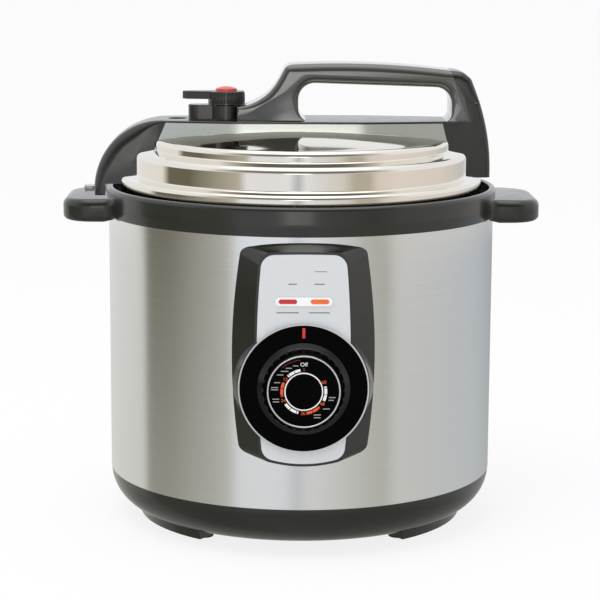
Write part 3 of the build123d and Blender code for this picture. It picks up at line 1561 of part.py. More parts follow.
# Power inlet: socket housing screwed to the back of the sleeve, with its three blades
inlet_screw_spots = [(inlet_screw_offset, 0), (-inlet_screw_offset, 0)]
with BuildPart() as power_inlet:
    with BuildSketch(back_plane(body_radius - inlet_neck, inlet_height)):
        RectangleRounded(2 * inlet_half_width, 2 * inlet_half_height, inlet_corner)
    extrude(amount=inlet_reach + inlet_neck)
    fillet(power_inlet.edges().group_by(Axis.Y)[-1], inlet_edge)
    Cylinder(body_radius + seat_clearance, collar_top, align=STAND, mode=Mode.SUBTRACT)
    with BuildSketch(back_plane(body_radius - inlet_neck, inlet_height)):
        Rectangle(neck_width, neck_height)
    extrude(amount=inlet_neck + neck_root)
    with BuildSketch(back_plane(inlet_back, inlet_height)):
        RectangleRounded(socket_width, socket_height, socket_corner)
    extrude(amount=-socket_depth, mode=Mode.SUBTRACT)
    with BuildSketch(back_plane(inlet_back, inlet_height)):
        with Locations(*inlet_screw_spots):
            Circle(screw_hole_radius)
    extrude(amount=-inlet_reach - inlet_neck, mode=Mode.SUBTRACT)
    with BuildSketch(back_plane(inlet_back, inlet_height)):
        with Locations(*inlet_screw_spots):
            Circle(screw_head_radius + seat_clearance)
    extrude(amount=-screw_head_height, mode=Mode.SUBTRACT)
save(power_inlet.part, "power_inlet")

with BuildPart() as inlet_pins:
    with BuildSketch(back_plane(inlet_back - socket_depth, inlet_height)):
        with Locations((inlet_pin_spacing, -pin_drop), (0, pin_rise), (-inlet_pin_spacing, -pin_drop)):
            Rectangle(inlet_pin_thickness, inlet_pin_width)
    extrude(amount=inlet_pin_length)
save(inlet_pins.part, "inlet_pins")

with BuildPart() as inlet_screws:
    with BuildSketch(back_plane(inlet_back, inlet_height)):
        with Locations(*inlet_screw_spots):
            Circle(screw_head_radius)
    extrude(amount=-screw_head_height)
    with BuildSketch(back_plane(inlet_back, inlet_height)):
        with Locations(*inlet_screw_spots):
            Circle(screw_radius)
    extrude(amount=-inlet_reach - inlet_screw_tail)
save(inlet_screws.part, "inlet_screws")
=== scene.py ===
"""Electric pressure cooker: brushed steel body, polished bayonet lid, dark mouldings, timer knob in front.

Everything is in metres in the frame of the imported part: the pot's axis is +Z and the front looks along -Y.
"""

import math

import bmesh
import bpy
from mathutils import Matrix, Vector


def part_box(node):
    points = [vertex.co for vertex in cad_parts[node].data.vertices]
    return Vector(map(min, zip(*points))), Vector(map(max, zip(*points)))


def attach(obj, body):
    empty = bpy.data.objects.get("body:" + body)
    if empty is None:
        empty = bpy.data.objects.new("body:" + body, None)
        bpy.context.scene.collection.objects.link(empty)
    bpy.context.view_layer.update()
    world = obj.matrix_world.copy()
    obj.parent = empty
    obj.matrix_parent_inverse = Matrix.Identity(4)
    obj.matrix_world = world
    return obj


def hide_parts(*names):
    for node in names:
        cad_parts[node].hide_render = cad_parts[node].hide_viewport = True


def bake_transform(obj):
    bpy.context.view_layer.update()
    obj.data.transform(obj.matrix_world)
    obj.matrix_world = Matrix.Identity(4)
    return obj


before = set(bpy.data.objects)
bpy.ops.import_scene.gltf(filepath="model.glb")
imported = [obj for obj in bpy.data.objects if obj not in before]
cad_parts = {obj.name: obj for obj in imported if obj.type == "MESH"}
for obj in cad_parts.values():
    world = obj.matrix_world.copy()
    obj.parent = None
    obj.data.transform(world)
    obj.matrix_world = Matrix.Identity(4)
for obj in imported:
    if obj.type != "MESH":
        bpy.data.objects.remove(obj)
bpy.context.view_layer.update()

# Base housing. The real one is a deep bowl injection-moulded in charcoal ABS, with a skirt along each side.
# It hangs from the sleeve's lower edge by an inner lip and is screwed to three posts.
mm = 0.001


def linear(colour):
    """Linear colour of an sRGB hex value."""
    parts = [int(colour[i : i + 2], 16) / 255 for i in (1, 3, 5)]
    return [c / 12.92 if c <= 0.04045 else ((c + 0.055) / 1.055) ** 2.4 for c in parts] + [1.0]


def add_node(tree, kind, inputs=None, to=None, **settings):
    """Adds a node with these settings, sets or links its inputs, and links its first live output."""
    node = tree.nodes.new(kind)
    for name, value in settings.items():
        setattr(node, name, value)
    for socket, value in (inputs or {}).items():
        if isinstance(value, bpy.types.NodeSocket):
            tree.links.new(value, node.inputs[socket])
        else:
            node.inputs[socket].default_value = value
    if to is not None:
        tree.links.new(next(out for out in node.outputs if out.enabled), to)
    return node


def new_finish(name, even):
    """A material with its shader and the place on the surface, in metres. Even values hold all over."""
    material = bpy.data.materials.new(name)
    material.use_nodes = True
    tree = material.node_tree
    shader = tree.nodes["Principled BSDF"]
    for socket, value in even.items():
        shader.inputs[socket].default_value = value
    place = add_node(tree, "ShaderNodeTexCoord").outputs["Object"]
    return material, tree, shader, place


def noise(tree, place, size, detail):
    """Soft noise over a surface, in patches of a size in mm."""
    grain = {"Vector": place, "Scale": 1 / (size * mm), "Detail": detail}
    return add_node(tree, "ShaderNodeTexNoise", grain).outputs["Fac"]


def tint(tree, share, first, second, to=None):
    """Colour between two, by a share from 0 to 1."""
    return add_node(tree, "ShaderNodeMix", {0: share, 6: first, 7: second}, to, data_type="RGBA").outputs[2]


def ramp(tree, value, start, end, first=0.0, last=1.0, to=None):
    """Number that runs from first to last while a value runs from start to end."""
    limits = {0: value, 1: start, 2: end, 3: first, 4: last}
    return add_node(tree, "ShaderNodeMapRange", limits, to).outputs[0]


def dress(material, *names):
    """Gives CAD nodes this material."""
    for name in names:
        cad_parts[name].data.materials.clear()
        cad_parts[name].data.materials.append(material)


def moulded_abs(name, colour, shade, smooth, dull, shine, coat):
    """Injection-moulded ABS: cloudy flow marks deep in the colour, a clear gloss that handling has dulled in
    places, and a faint ripple. The ripple is 0.3 mm long on the real part and drawn at 0.9 mm."""
    even = {"IOR": 1.53, "Specular IOR Level": shine, "Coat Weight": coat, "Coat Roughness": 0.06}
    material, tree, shader, place = new_finish(name, even)
    flow = noise(tree, place, 40, 3.0)
    tint(tree, flow, linear(shade), linear(colour), shader.inputs["Base Color"])
    wear = noise(tree, place, 11, 4.0)
    ramp(tree, wear, 0.3, 0.7, smooth, dull, shader.inputs["Roughness"])
    grain = noise(tree, place, 0.9, 1.0)
    ripple = {"Strength": 0.1, "Distance": 0.02 * mm, "Height": grain}
    add_node(tree, "ShaderNodeBump", ripple, shader.inputs["Normal"])
    return material


charcoal_abs = moulded_abs("charcoal_abs_satin", "#21221D", "#191A15", 0.19, 0.27, 0.45, 0.35)
dress(charcoal_abs, "base_housing")

# Feet. Four moulded rubber pads, each with a plug pressed into a boss of the base.
# The rubber is black and a little waxy, and lighter in small patches.


def mottled(name, dark, light, size, detail, even):
    """A finish that drifts between two tones, in patches of a size in mm."""
    material, tree, shader, place = new_finish(name, even)
    patches = noise(tree, place, size, detail)
    tint(tree, patches, linear(dark), linear(light), shader.inputs["Base Color"])
    return material


rubber = mottled("rubber_moulded", "#131313", "#212120", 3, 5.0, {"Roughness": 0.42})
dress(rubber, "rubber_feet")


def eased(node, width, segments):
    """Rounds the edges of a CAD node by a width in mm."""
    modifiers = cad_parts[node].modifiers
    modifiers.new("weld", "WELD").merge_threshold = 0.01 * mm
    bevel = modifiers.new("bevel", "BEVEL")
    bevel.width = width * mm
    bevel.segments = segments
    bevel.limit_method = "ANGLE"


eased("rubber_feet", 1.6, 4)

# Posts and screws. Steel turned and cold-headed, then zinc plated: bright, a little blue and finely frosted.
# The posts stand on the base's floor, and all screws hold into moulded bosses or the posts.
zinc, tree, shader, place = new_finish("zinc_plated_steel", {"Metallic": 1.0})
frost = noise(tree, place, 1.5, 4.0)
tint(tree, frost, linear("#AEB2B6"), linear("#D2D5D8"), shader.inputs["Base Color"])
ramp(tree, frost, 0.0, 1.0, 0.24, 0.42, shader.inputs["Roughness"])
dress(zinc, "support_posts", "base_screws", "handle_screws", "strap_screws", "grip_screws")
dress(zinc, "timer_screws", "inlet_screws", "plate_studs", "heating_element")

# Outer sleeve. A tube of 0.8 mm stainless steel, brushed before it was rolled, with its edges turned in.
# It stands on the base's shoulder and its top is gripped by the collar's groove.
sleeve_radius = 137.2
sleeve_wall = 0.8
sleeve_bottom = 36.0
sleeve_top = 224.0


def rounded(corners, steps=6, hold=0.06):
    """Closed outline through (x, y, radius) corners, each rounded by its radius. A point just before and after
    each rounding keeps the straight runs from shading as if they curved."""
    points = []
    for index, (x, y, radius) in enumerate(corners):
        here = Vector((x, y))
        if radius == 0:
            points.append((x, y))
            continue
        before = (Vector(corners[index - 1][:2]) - here).normalized()
        after = (Vector(corners[(index + 1) % len(corners)][:2]) - here).normalized()
        half = before.angle(after) / 2
        centre = here + (before + after).normalized() * radius / math.sin(half)
        start = here + before * radius / math.tan(half) - centre
        end = here + after * radius / math.tan(half) - centre
        turn = start.angle_signed(end)
        points.append(tuple(centre + start + before * hold))
        for step in range(steps + 1):
            spoke = Matrix.Rotation(-turn * step / steps, 2) @ start
            points.append(tuple(centre + spoke))
        points.append(tuple(centre + end + after * hold))
    return points


def finished(name, form, material, body, crease=28.0):
    """Makes a form into a piece, smooth but for edges sharper than crease, and rides it on a body if named."""
    bmesh.ops.recalc_face_normals(form, faces=form.faces)
    mesh = bpy.data.meshes.new(name)
    form.to_mesh(mesh)
    form.free()
    mesh.shade_smooth()
    mesh.set_sharp_from_angle(angle=math.radians(crease))
    piece = bpy.data.objects.new(name, mesh)
    bpy.context.scene.collection.objects.link(piece)
    mesh.materials.append(material)
    if body:
        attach(piece, body)
    return piece


def lathe(outline, steps, place):
    """A form turned from a closed (radius, height) outline in mm, round the pot's axis or a placed one."""
    form = bmesh.new()
    rings = []
    angles = [2 * math.pi * step / steps for step in range(steps)]
    for radius, height in outline:
        if radius < 1e-6:
            rings.append([form.verts.new((0, 0, height * mm))] * steps)
            continue
        across = [(radius * mm * math.cos(a), radius * mm * math.sin(a)) for a in angles]
        rings.append([form.verts.new((x, y, height * mm)) for x, y in across])
    for index, ring in enumerate(rings):
        last = rings[index - 1]
        for step in range(steps):
            corners = list(dict.fromkeys([last[step - 1], last[step], ring[step], ring[step - 1]]))
            if len(corners) > 2:
                form.faces.new(corners)
    form.transform(place)
    return form


def turned(name, outline, material, body, steps=288, crease=28.0, place=Matrix()):
    """A turned piece on a body of the part."""
    return finished(name, lathe(outline, steps, place), material, body, crease)


def streaked(name, stretch, detail, dark, light, even, gloss=None, rough=0.5):
    """Steel with the long marks of its making, so many to the metre along x, y and z. They run between two
    tones and, if given, two roughnesses."""
    material, tree, shader, place = new_finish(name, {"Metallic": 1.0, **even})
    spread = add_node(tree, "ShaderNodeMapping", {"Vector": place, "Scale": stretch}).outputs[0]
    grain = {"Vector": spread, "Scale": 1.0, "Detail": detail, "Roughness": rough}
    marks = add_node(tree, "ShaderNodeTexNoise", grain).outputs["Fac"]
    tint(tree, marks, linear(dark), linear(light), shader.inputs["Base Color"])
    if gloss:
        ramp(tree, marks, 0.3, 0.7, *gloss, shader.inputs["Roughness"])
    return material


# Brushed 304 stainless: hairlines run round the body, so a reflection keeps sharp upright edges and smears up
# and down. The hairlines are 0.05 mm on the real sheet and drawn 0.7 mm high, the finest that shows.
hairlines = (6, 6, 1 / (0.7 * mm))
even = {"Anisotropic": 0.6}
brushed_steel = streaked(
    "stainless_steel_brushed", hairlines, 3.0, "#E9EAEA", "#F1F2F1", even, (0.12, 0.17), 0.7
)
tree = brushed_steel.node_tree
tangent = tree.nodes["Principled BSDF"].inputs["Tangent"]
add_node(tree, "ShaderNodeTangent", None, tangent, direction_type="RADIAL", axis="Z")

sleeve_outline = [(sleeve_radius, sleeve_bottom, 0.35), (sleeve_radius, sleeve_top, 0.35)]
sleeve_outline += [(sleeve_radius - sleeve_wall, z, 0) for z in (sleeve_top, sleeve_bottom)]
sleeve = turned("steel_sleeve", rounded(sleeve_outline), brushed_steel, "housing")
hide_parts("outer_sleeve")

# Collar. A moulded ring of charcoal ABS that caps the sleeve and holds the gutter round the pot.
# Its side is slightly bellied and its top edge well rounded, so it carries one soft light line.
collar_bottom = 220.0
collar_outer = 138.6
collar_inner = 134.2
groove_top = 224.0
gutter_inner = 110.4
gutter_floor = 221.5
collar_outline = [(138.5, collar_bottom, 0.4), (139.0, 227.0, 30.0), (collar_outer, 240.2, 2.6)]
collar_outline += [(collar_inner, 239.0, 0.8), (collar_inner, groove_top, 0.5), (gutter_inner, groove_top, 0)]
collar_outline += [(gutter_inner, gutter_floor, 0), (collar_inner, gutter_floor, 0)]
collar_outline += [(collar_inner, collar_bottom, 0), (136.2, collar_bottom, 0), (136.2, groove_top, 0)]
collar_outline += [(137.4, groove_top, 0), (137.4, collar_bottom, 0)]
collar = turned("collar", rounded(collar_outline), charcoal_abs, "housing")
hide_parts("collar_ring")

# Side handles. Solid lugs of the same ABS, screwed on from inside the collar and blended into it.
# Their tops fall a little outwards and all edges are well rounded for the hands.
lug_inner = 136.6
lug_blend = 9.0
lug_side = 42.0
lug_end = 168.2
lug_corner = 22.0
lug_bottom = 216.5
lug_root_top = 232.8
lug_fall = 0.02
lug_root_rise = 3.7
lug_low_edge = 4.0
lug_top_edge = 5.0


def lug_plan(steps=10):
    """Lug's outline from above on the right side, as points with their outward directions and roundings."""
    blend_y = lug_side + lug_blend
    blend_x = math.sqrt((collar_outer + lug_blend) ** 2 - blend_y**2)
    to_collar = math.atan2(-blend_y, -blend_x)
    half = []
    for step in range(steps + 1):
        angle = to_collar + (-math.pi / 2 - to_collar) * step / steps
        spoke = Vector((math.cos(angle), math.sin(angle)))
        half.append((Vector((blend_x, blend_y)) + spoke * lug_blend, -spoke, step / steps))
    for step in range(steps + 1):
        angle = math.pi / 2 * (1 - step / steps)
        spoke = Vector((math.cos(angle), math.sin(angle)))
        half.append((Vector((lug_end - lug_corner, lug_side - lug_corner)) + spoke * lug_corner, spoke, 1.0))
    other = [(Vector((p.x, -p.y)), Vector((out.x, -out.y)), share) for p, out, share in half[::-1]]
    return half + other


def skinned(form, rings):
    """Closes a form over rings of points, with a face at each end."""
    for last, ring in zip(rings, rings[1:]):
        for index in range(len(ring)):
            form.faces.new((last[index - 1], last[index], ring[index], ring[index - 1]))
    form.faces.new(rings[0])
    form.faces.new(rings[-1])


def lug_height(x, foot, swing):
    """Height on a lug's rounded edges: the lower one at a swing below 0, and the upper one above it."""
    if swing < 0:
        return foot + lug_low_edge * (1 + math.sin(swing))
    return lug_root_top - lug_fall * (x - 138.0) - lug_top_edge * (1 - math.sin(swing))


for side, node in ((1, "side_handle_right"), (-1, "side_handle_left")):
    form = bmesh.new()
    plan = lug_plan()
    limit = math.atan2(plan[0][0].y, plan[0][0].x)
    hidden = [limit * (1 - 2 * step / 16) for step in range(17)][::-1]
    levels = []
    for turn in range(-8, 9):
        swing = math.pi / 2 * turn / 8
        edge = lug_low_edge if turn < 0 else lug_top_edge
        level = []
        for point, out, share in plan:
            height = lug_height(point.x, lug_bottom + lug_root_rise * (1 - share), swing)
            spot = point - out * edge * share * (1 - math.cos(swing))
            level.append(form.verts.new((side * spot.x * mm, spot.y * mm, height * mm)))
        for angle in hidden:
            x, y = lug_inner * math.cos(angle), lug_inner * math.sin(angle)
            height = lug_height(x, lug_bottom + lug_root_rise, swing)
            level.append(form.verts.new((side * x * mm, y * mm, height * mm)))
        levels.append(level)
    skinned(form, levels)
    name = "lug_right" if side > 0 else "lug_left"
    lug = finished(name, form, charcoal_abs, "housing", 40.0)
    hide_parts(node)

# Lid rest. A small bright peg on the left lug, behind the arm's end. That it is a rest for the lid is a guess.
# It is a rounded block with a plated face.
form = bmesh.new()
rest_low, rest_high = Vector((-157.5, 25.0, 229.0)), Vector((-149.5, 31.0, 235.2))
bmesh.ops.create_cube(form, size=1.0)
for vert in form.verts:
    vert.co = [(rest_low[i] + (rest_high[i] - rest_low[i]) * (vert.co[i] + 0.5)) * mm for i in range(3)]
bmesh.ops.bevel(form, geom=form.edges[:], offset=1.4 * mm, segments=4, affect="EDGES", profile=0.5)
finished("lid_rest", form, zinc, "housing", 40.0)

# Inner shell and heater. The shell is deep-drawn stainless steel with the bayonet teeth pressed into its rim.
# The heating plate under the pot is cast aluminium with a tubular element let into its underside.
# Drawn stainless: a soft sheen with the punch's long streaks, 3 mm high.
streaks = [1 / (size * mm) for size in (14, 14, 3)]
drawn_steel = streaked("stainless_steel_drawn", streaks, 5.0, "#BDBDB9", "#DADAD6", {}, (0.2, 0.36))
dress(drawn_steel, "inner_shell", "locking_ring", "inner_cover", "cover_stud", "vent_stem", "vent_nut")
dress(drawn_steel, "anti_block_cap", "float_bush", "float_pin", "sensor_plunger", "timer_shaft")

# Machined casting: a dull silver face with the lathe's rings.
cast_aluminium, tree, shader, place = new_finish("cast_aluminium_machined", {"Metallic": 1.0})
rings = add_node(
    tree,
    "ShaderNodeTexWave",
    {"Vector": place, "Scale": 1 / (7 * mm), "Distortion": 0.6, "Detail": 2.0},
    wave_type="RINGS",
    rings_direction="Z",
)
tint(tree, rings.outputs["Fac"], linear("#A5A6A6"), linear("#C4C5C5"), shader.inputs["Base Color"])
ramp(tree, rings.outputs["Fac"], 0.0, 1.0, 0.3, 0.45, shader.inputs["Roughness"])
dress(cast_aluminium, "heating_plate")

# Cut-out, switch and timer case. Small black mouldings, plain and dull, clipped or screwed inside the base.
# They show only with the pot lifted out and the heating plate off.
black_abs = moulded_abs("black_abs_satin", "#121212", "#0C0C0C", 0.32, 0.42, 0.4, 0.0)
dress(black_abs, "thermal_cutout", "pressure_switch", "timer_case")

# Springs. Coils of drawn spring wire: one lifts the pot sensor, one lifts the steam button.
# Each sits in the ring of space that the CAD keeps for it. The wire is grey and half bright from the die.
even = {"Metallic": 1.0, "Roughness": 0.28}
spring_steel = mottled("spring_steel_drawn", "#8C8C8A", "#B8B8B4", 0.8, 3.0, even)


def coil(name, node, wire, turns):
    """A spring of round wire wound in the box of a CAD node, between a still body and one that presses it."""
    low, high = [Vector(corner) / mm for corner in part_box(node)]
    middle = (low + high) / 2
    radius = (high.x - low.x - wire) / 2
    rise = high.z - low.z - wire
    form = bmesh.new()
    rings = []
    steps = 28 * turns
    for step in range(steps + 1):
        angle = 2 * math.pi * turns * step / steps
        spoke = Vector((math.cos(angle), math.sin(angle), 0))
        heart = spoke * radius + Vector((middle.x, middle.y, low.z + wire / 2 + rise * step / steps))
        ring = []
        for side in range(10):
            turn = 2 * math.pi * side / 10
            point = heart + (spoke * math.cos(turn) + Vector((0, 0, math.sin(turn)))) * wire / 2
            ring.append(form.verts.new(point * mm))
        rings.append(ring)
    skinned(form, rings)
    piece = finished(name, form, spring_steel, None, 60.0)
    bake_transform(piece)
    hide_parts(node)


coil("sensor_coil", "sensor_spring", 0.8, 3)
coil("button_coil", "button_spring", 0.5, 3)

# Panel bezel. A raised frame moulded in satin charcoal ABS, hollow behind, with round shoulders at the dial.
# It is clipped over the windows in the sleeve and carries the timer and the lamps.
dress(charcoal_abs, "panel_bezel")

# Face plate. A sheet of aluminium, silver lacquered, let into the bezel behind the dial.
# The lacquer is satin, with fine metal flake that shows as a faint grain.
silver_lacquer = mottled("aluminium_silver_lacquer", "#CDD0D3", "#DDE0E3", 0.6, 2.0, {"Roughness": 0.38})
dress(silver_lacquer, "face_plate")
eased("face_plate", 0.35, 2)

# Marks on the face plate. Plain grey bars, screen printed, one for each label beside the lamps.
# The ink is matt and stands a few hundredths of a millimetre proud.
plate_front = -143.2


def printing_ink(name, colour, worn):
    """Screen-printing ink: an even matt colour, slightly thin where the mesh of the screen left it."""
    return mottled(name, worn, colour, 0.7, 2.0, {"Roughness": 0.6})


def bar(x, z, width, height):
    """Outline of an upright bar with its middle at x, z."""
    return [
        (x - width / 2, z - height / 2),
        (x + width / 2, z - height / 2),
        (x + width / 2, z + height / 2),
        (x - width / 2, z + height / 2),
    ]


def printed(name, outlines, front, material, body):
    """Flat marks on an upright face, each from a closed (x, z) outline in mm."""
    form = bmesh.new()
    for outline in outlines:
        sides = []
        for y in (front + 0.02, front - 0.05):
            sides.append([form.verts.new((x * mm, y * mm, z * mm)) for x, z in outline])
        skinned(form, sides)
    return finished(name, form, material, body)


grey_ink = printing_ink("printing_ink_grey", "#7A7C7E", "#8A8C8E")
plate_bars = [bar(-7.4, 190.1, 5.4, 0.8), bar(10.1, 190.1, 6.6, 0.8)]
plate_bars += [bar(-10.6, 171.2, 14.6, 0.8), bar(10.1, 171.2, 13.6, 0.8), bar(10.9, 198.4, 8.0, 0.5)]
printed("plate_marks", plate_bars, plate_front, grey_ink, "housing")

# Indicator window and lenses. A white moulded pill with two tinted lenses, a lamp behind each.
# The lenses are clear acrylic with dye in it, polished by the mould, so they are glossy and deep in colour.
# Behind them a green glass-epoxy board, with a faint weave, carries the lamps.
opal = mottled("opal_acrylic", "#F3F3F1", "#FBFBFA", 6, 2.0, {"Roughness": 0.2})
dress(opal, "indicator_window")

for name, node, edge_colour, heart_colour in (
    ("dyed_acrylic_red", "lens_red", "#B92A2E", "#D8383A"),
    ("dyed_acrylic_orange", "lens_orange", "#E9602A", "#FB7A35"),
):
    lens = mottled(name, edge_colour, heart_colour, 3, 1.0, {"Roughness": 0.12})
    dress(lens, node)

board = mottled("glass_epoxy_board", "#1F5A33", "#2C7444", 1, 2.0, {"Roughness": 0.35})
dress(board, "lamp_board")

# Dial disc and trim ring. The disc is a deep black moulding on the face plate, edged by a bright plated ring.
# A red bar printed above the knob marks where the timer stands. The black hardly shines; the ring is a mirror.
deep_black = moulded_abs("black_abs_dead_flat", "#040404", "#020202", 0.35, 0.45, 0.03, 0.0)
dress(deep_black, "dial_disc")
dial_height = 121.0
disc_front = -145.6
red_ink = printing_ink("printing_ink_red", "#E0382E", "#D03028")
printed("dial_index", [bar(0, dial_height + 37.0, 1.9, 6.8)], disc_front, red_ink, "housing")
chrome = mottled("chrome_plated_abs", "#DADCDD", "#EDEEEE", 8, 3.0, {"Metallic": 1.0, "Roughness": 0.12})
dress(chrome, "dial_ring")

# Knob. A skirted timer knob in black ABS with a fluted grip, pressed on the timer's shaft.
# Its dished face is edged by a plated ring and printed with the minutes and a bar for each setting.
# The black is smooth from the mould and shines only a little.
knob_black = moulded_abs("black_abs_gloss", "#050505", "#030303", 0.1, 0.16, 0.3, 0.25)
dress(knob_black, "knob")
face_front = -155.16
on_dial = Matrix.Translation((0, 0, dial_height * mm)) @ Matrix.Rotation(math.pi / 2, 4, "X")
trim_outline = [(23.1, 155.6, 0), (24.05, 155.6, 0), (24.05, 156.1, 0.2), (23.1, 156.1, 0.2)]
turned("knob_trim", rounded(trim_outline, 3, 0.02), chrome, "knob", steps=120, place=on_dial)
face_outline = [(0, 155.0), (22.55, 155.0), (22.55, 155.16), (0, 155.16)]
turned("knob_face", face_outline, deep_black, "knob", steps=120, place=on_dial)
white_ink = printing_ink("printing_ink_white", "#F4F4F2", "#E6E6E4")
orange_ink = printing_ink("printing_ink_orange", "#EE5A2C", "#E04F26")
dim_ink = printing_ink("printing_ink_dark_red", "#8A2E2A", "#7A2622")
pale_ink = printing_ink("printing_ink_pale_grey", "#A8A8A5", "#969693")
ring_outline = [(11.9, 155.1), (12.7, 155.1), (12.7, 155.22), (11.9, 155.22)]
turned("knob_ring", ring_outline, white_ink, "knob", steps=96, place=on_dial)


def arc(inner, outer, start, end):
    """Outline of a curved bar on the dial, between two angles in degrees."""
    angles = [math.radians(start + (end - start) * step / 8) for step in range(9)]
    rim = [(outer * math.cos(a), dial_height + outer * math.sin(a)) for a in angles]
    return rim + [(inner * math.cos(a), dial_height + inner * math.sin(a)) for a in angles[::-1]]


def lettered(name, words, height, x, z, material):
    """Figures on the knob's face, capital height and middle in mm."""
    figures = bpy.data.curves.new(name, "FONT")
    figures.body = words
    figures.align_x = "CENTER"
    figures.align_y = "CENTER"
    figures.size = height / 0.73 * mm
    figures.extrude = 0.04 * mm
    holder = bpy.data.objects.new(name + "_outline", figures)
    bpy.context.scene.collection.objects.link(holder)
    shape = holder.evaluated_get(bpy.context.evaluated_depsgraph_get())
    mesh = bpy.data.meshes.new_from_object(shape)
    form = bmesh.new()
    form.from_mesh(mesh)
    bmesh.ops.remove_doubles(form, verts=form.verts, dist=0.001 * mm)
    upright = Matrix.Rotation(math.pi / 2, 4, "X")
    form.transform(Matrix.Translation((x * mm, face_front * mm, z * mm)) @ upright)
    bpy.data.objects.remove(holder)
    bpy.data.curves.remove(figures)
    bpy.data.meshes.remove(mesh)
    return finished(name, form, material, "knob")


lettered("knob_off", "Off", 2.7, 0, dial_height + 18.0, white_ink)
minutes_radius = 14.6
minutes = ((0, 90.0), (12, 146.0), (24, 204.0), (36, 268.0), (48, 326.0), (60, 385.5))
for value, angle in minutes:
    x = minutes_radius * math.cos(math.radians(angle))
    z = dial_height + minutes_radius * math.sin(math.radians(angle))
    ink = orange_ink if value else dim_ink
    lettered(f"knob_minutes_{value}", str(value), 2.3, x, z, ink)
# three dashes between two figures, by degrees of a 56 degree run, white and orange in turn
dash_ends = ((9.0, 24.0), (25.6, 40.6), (42.2, 45.4))
dashes = ([], [])
for index, ((_, start), (_, end)) in enumerate(zip(minutes, minutes[1:])):
    share = (end - start) / 56
    for low, high in dash_ends:
        dashes[index % 2].append(arc(13.5, 15.3, start + low * share, start + high * share))
printed("knob_dashes_white", dashes[0], face_front, white_ink, "knob")
printed("knob_dashes_orange", dashes[1], face_front, orange_ink, "knob")
printed("knob_start_arc", [arc(21.1, 21.45, 96, 132)], face_front, dim_ink, "knob")
# place across and up from the knob's middle, and width
setting_bars = (
    (-5.2, 16.7, 3.6), (-9.5, 15.2, 4.0), (-12.2, 13.2, 5.0), (-15.0, 10.9, 4.2), (-16.9, 5.9, 4.0),
    (-18.5, 2.7, 4.6), (-18.5, 1.3, 4.6), (-17.8, -4.8, 4.4), (-17.6, -6.6, 4.2), (18.0, -3.7, 4.4),
    (17.4, -5.5, 3.4), (14.4, -11.1, 4.6), (8.6, -15.0, 4.6), (8.6, -16.8, 4.2),
)
bars = [bar(1.03 * x, dial_height + 1.03 * z, width, 0.6) for x, z, width in setting_bars]
printed("knob_setting_marks", bars, face_front, pale_ink, "knob")

# Power inlet. A moulded socket on the back, screwed through the sleeve, with three brass blades.
# The blades are stamped and tumbled, so they are bright with a little tarnish.
brass = mottled("brass_stamped", "#B8923E", "#DDBB68", 2, 4.0, {"Metallic": 1.0, "Roughness": 0.25})
dress(brass, "inlet_pins")
dress(black_abs, "power_inlet")

# Inner pot. Spun aluminium with a baked non-stick coat, standing on the heating plate.
# The coat is dark grey and satin, with fine pale flecks in it.
coated_pot = mottled("aluminium_nonstick_coated", "#3A3A3C", "#525254", 1.2, 3.0, {"Roughness": 0.34})
dress(coated_pot, "inner_pot")

# Sealing ring, grommet and float seal. Moulded translucent silicone, stretched on by hand.
# It is milky and slightly waxy, and light goes a little way into it.
even = {"Roughness": 0.5, "Subsurface Weight": 0.2, "Subsurface Radius": (2 * mm, 2 * mm, 2 * mm)}
silicone = mottled("silicone_moulded", "#C9C9C3", "#DEDED9", 10, 2.0, even)
dress(silicone, "sealing_ring", "cover_grommet", "float_seal")

# Lid shell. Deep-drawn stainless steel, two tiers under a shallow dome, polished to a mirror outside.
# The strap is screwed to its dome from below, and the locking ring is welded inside its skirt.
lid_top = 280.0
dome_radius = 694.0
upper_tier = 105.0
lower_tier = 117.5
lid_rim = 128.2
lid_sheet = 1.2


def lid_outline(shift):
    """Corners of the lid's surface from the dome's middle to the skirt's end, moved out by shift."""
    heart = lid_top + shift - dome_radius
    dome = [(radius, heart + math.sqrt(dome_radius**2 - radius**2), 0) for radius in range(0, 101, 5)]
    return dome + [
        (upper_tier + shift, 272.3 + shift, 3.5),
        (upper_tier + shift, 265.0 + shift, 0.8),
        (lower_tier + shift, 262.4 + shift, 4.0),
        (lower_tier + shift, 246.8 + shift, 1.0),
        (lid_rim + shift, 245.6 + shift, 2.8),
        (lid_rim + shift, 227.5, 0.3),
    ]


# Polished stainless: a warm mirror, with the faint rings that buffing leaves. The buffing marks are far finer
# than a pixel and are drawn 1.2 mm wide.
buffing = (8, 8, 1 / (1.2 * mm))
polished_steel = streaked("stainless_steel_polished", buffing, 3.0, "#F0EAE0", "#F6F1E8", {}, (0.04, 0.08))
lid_section = rounded(lid_outline(0.0) + lid_outline(-lid_sheet)[::-1])
lid = turned("lid_pressing", lid_section, polished_steel, "lid", steps=360)
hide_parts("lid_shell")

# Cover knob. A small black moulding under the lid, pressed on a welded stud.
# It holds the inner cover, which comes off for washing.
dress(black_abs, "cover_knob")

# Strap. One charcoal ABS moulding across the lid, with an arm down past the collar on the left and one to the
# rim on the right. Its edges are broadly rounded on the left arm and crisp on top. Screws from under the lid
# hold it.
strap_top = 286.0
strap_gap = 0.4
arm_half = 21.0
float_x = -88.0
float_hole = 7.0
arm_bottom = 233.0
arm_centre = Vector((-98.0, 237.5))
arm_radius = 48.5


def half_width(x):
    """Strap's half width: 31 mm in the middle and 21 mm at the arms, the corners between eased. The right arm
    draws in a little more towards its outside."""
    shares = [min(max((104.0 - abs(x + ease)) / 59.0, 0.0), 1.0) for ease in (-4.0, 0.0, 4.0)]
    return arm_half + 10.0 * sum(shares) / 3 - 2.4 * min(max((x - 112.0) / 22.0, 0.0), 1.0)


def dome_height(x, y):
    """Height of the strap's underside over the dome."""
    return lid_top + strap_gap - dome_radius + math.sqrt(dome_radius**2 - x**2 - y**2)


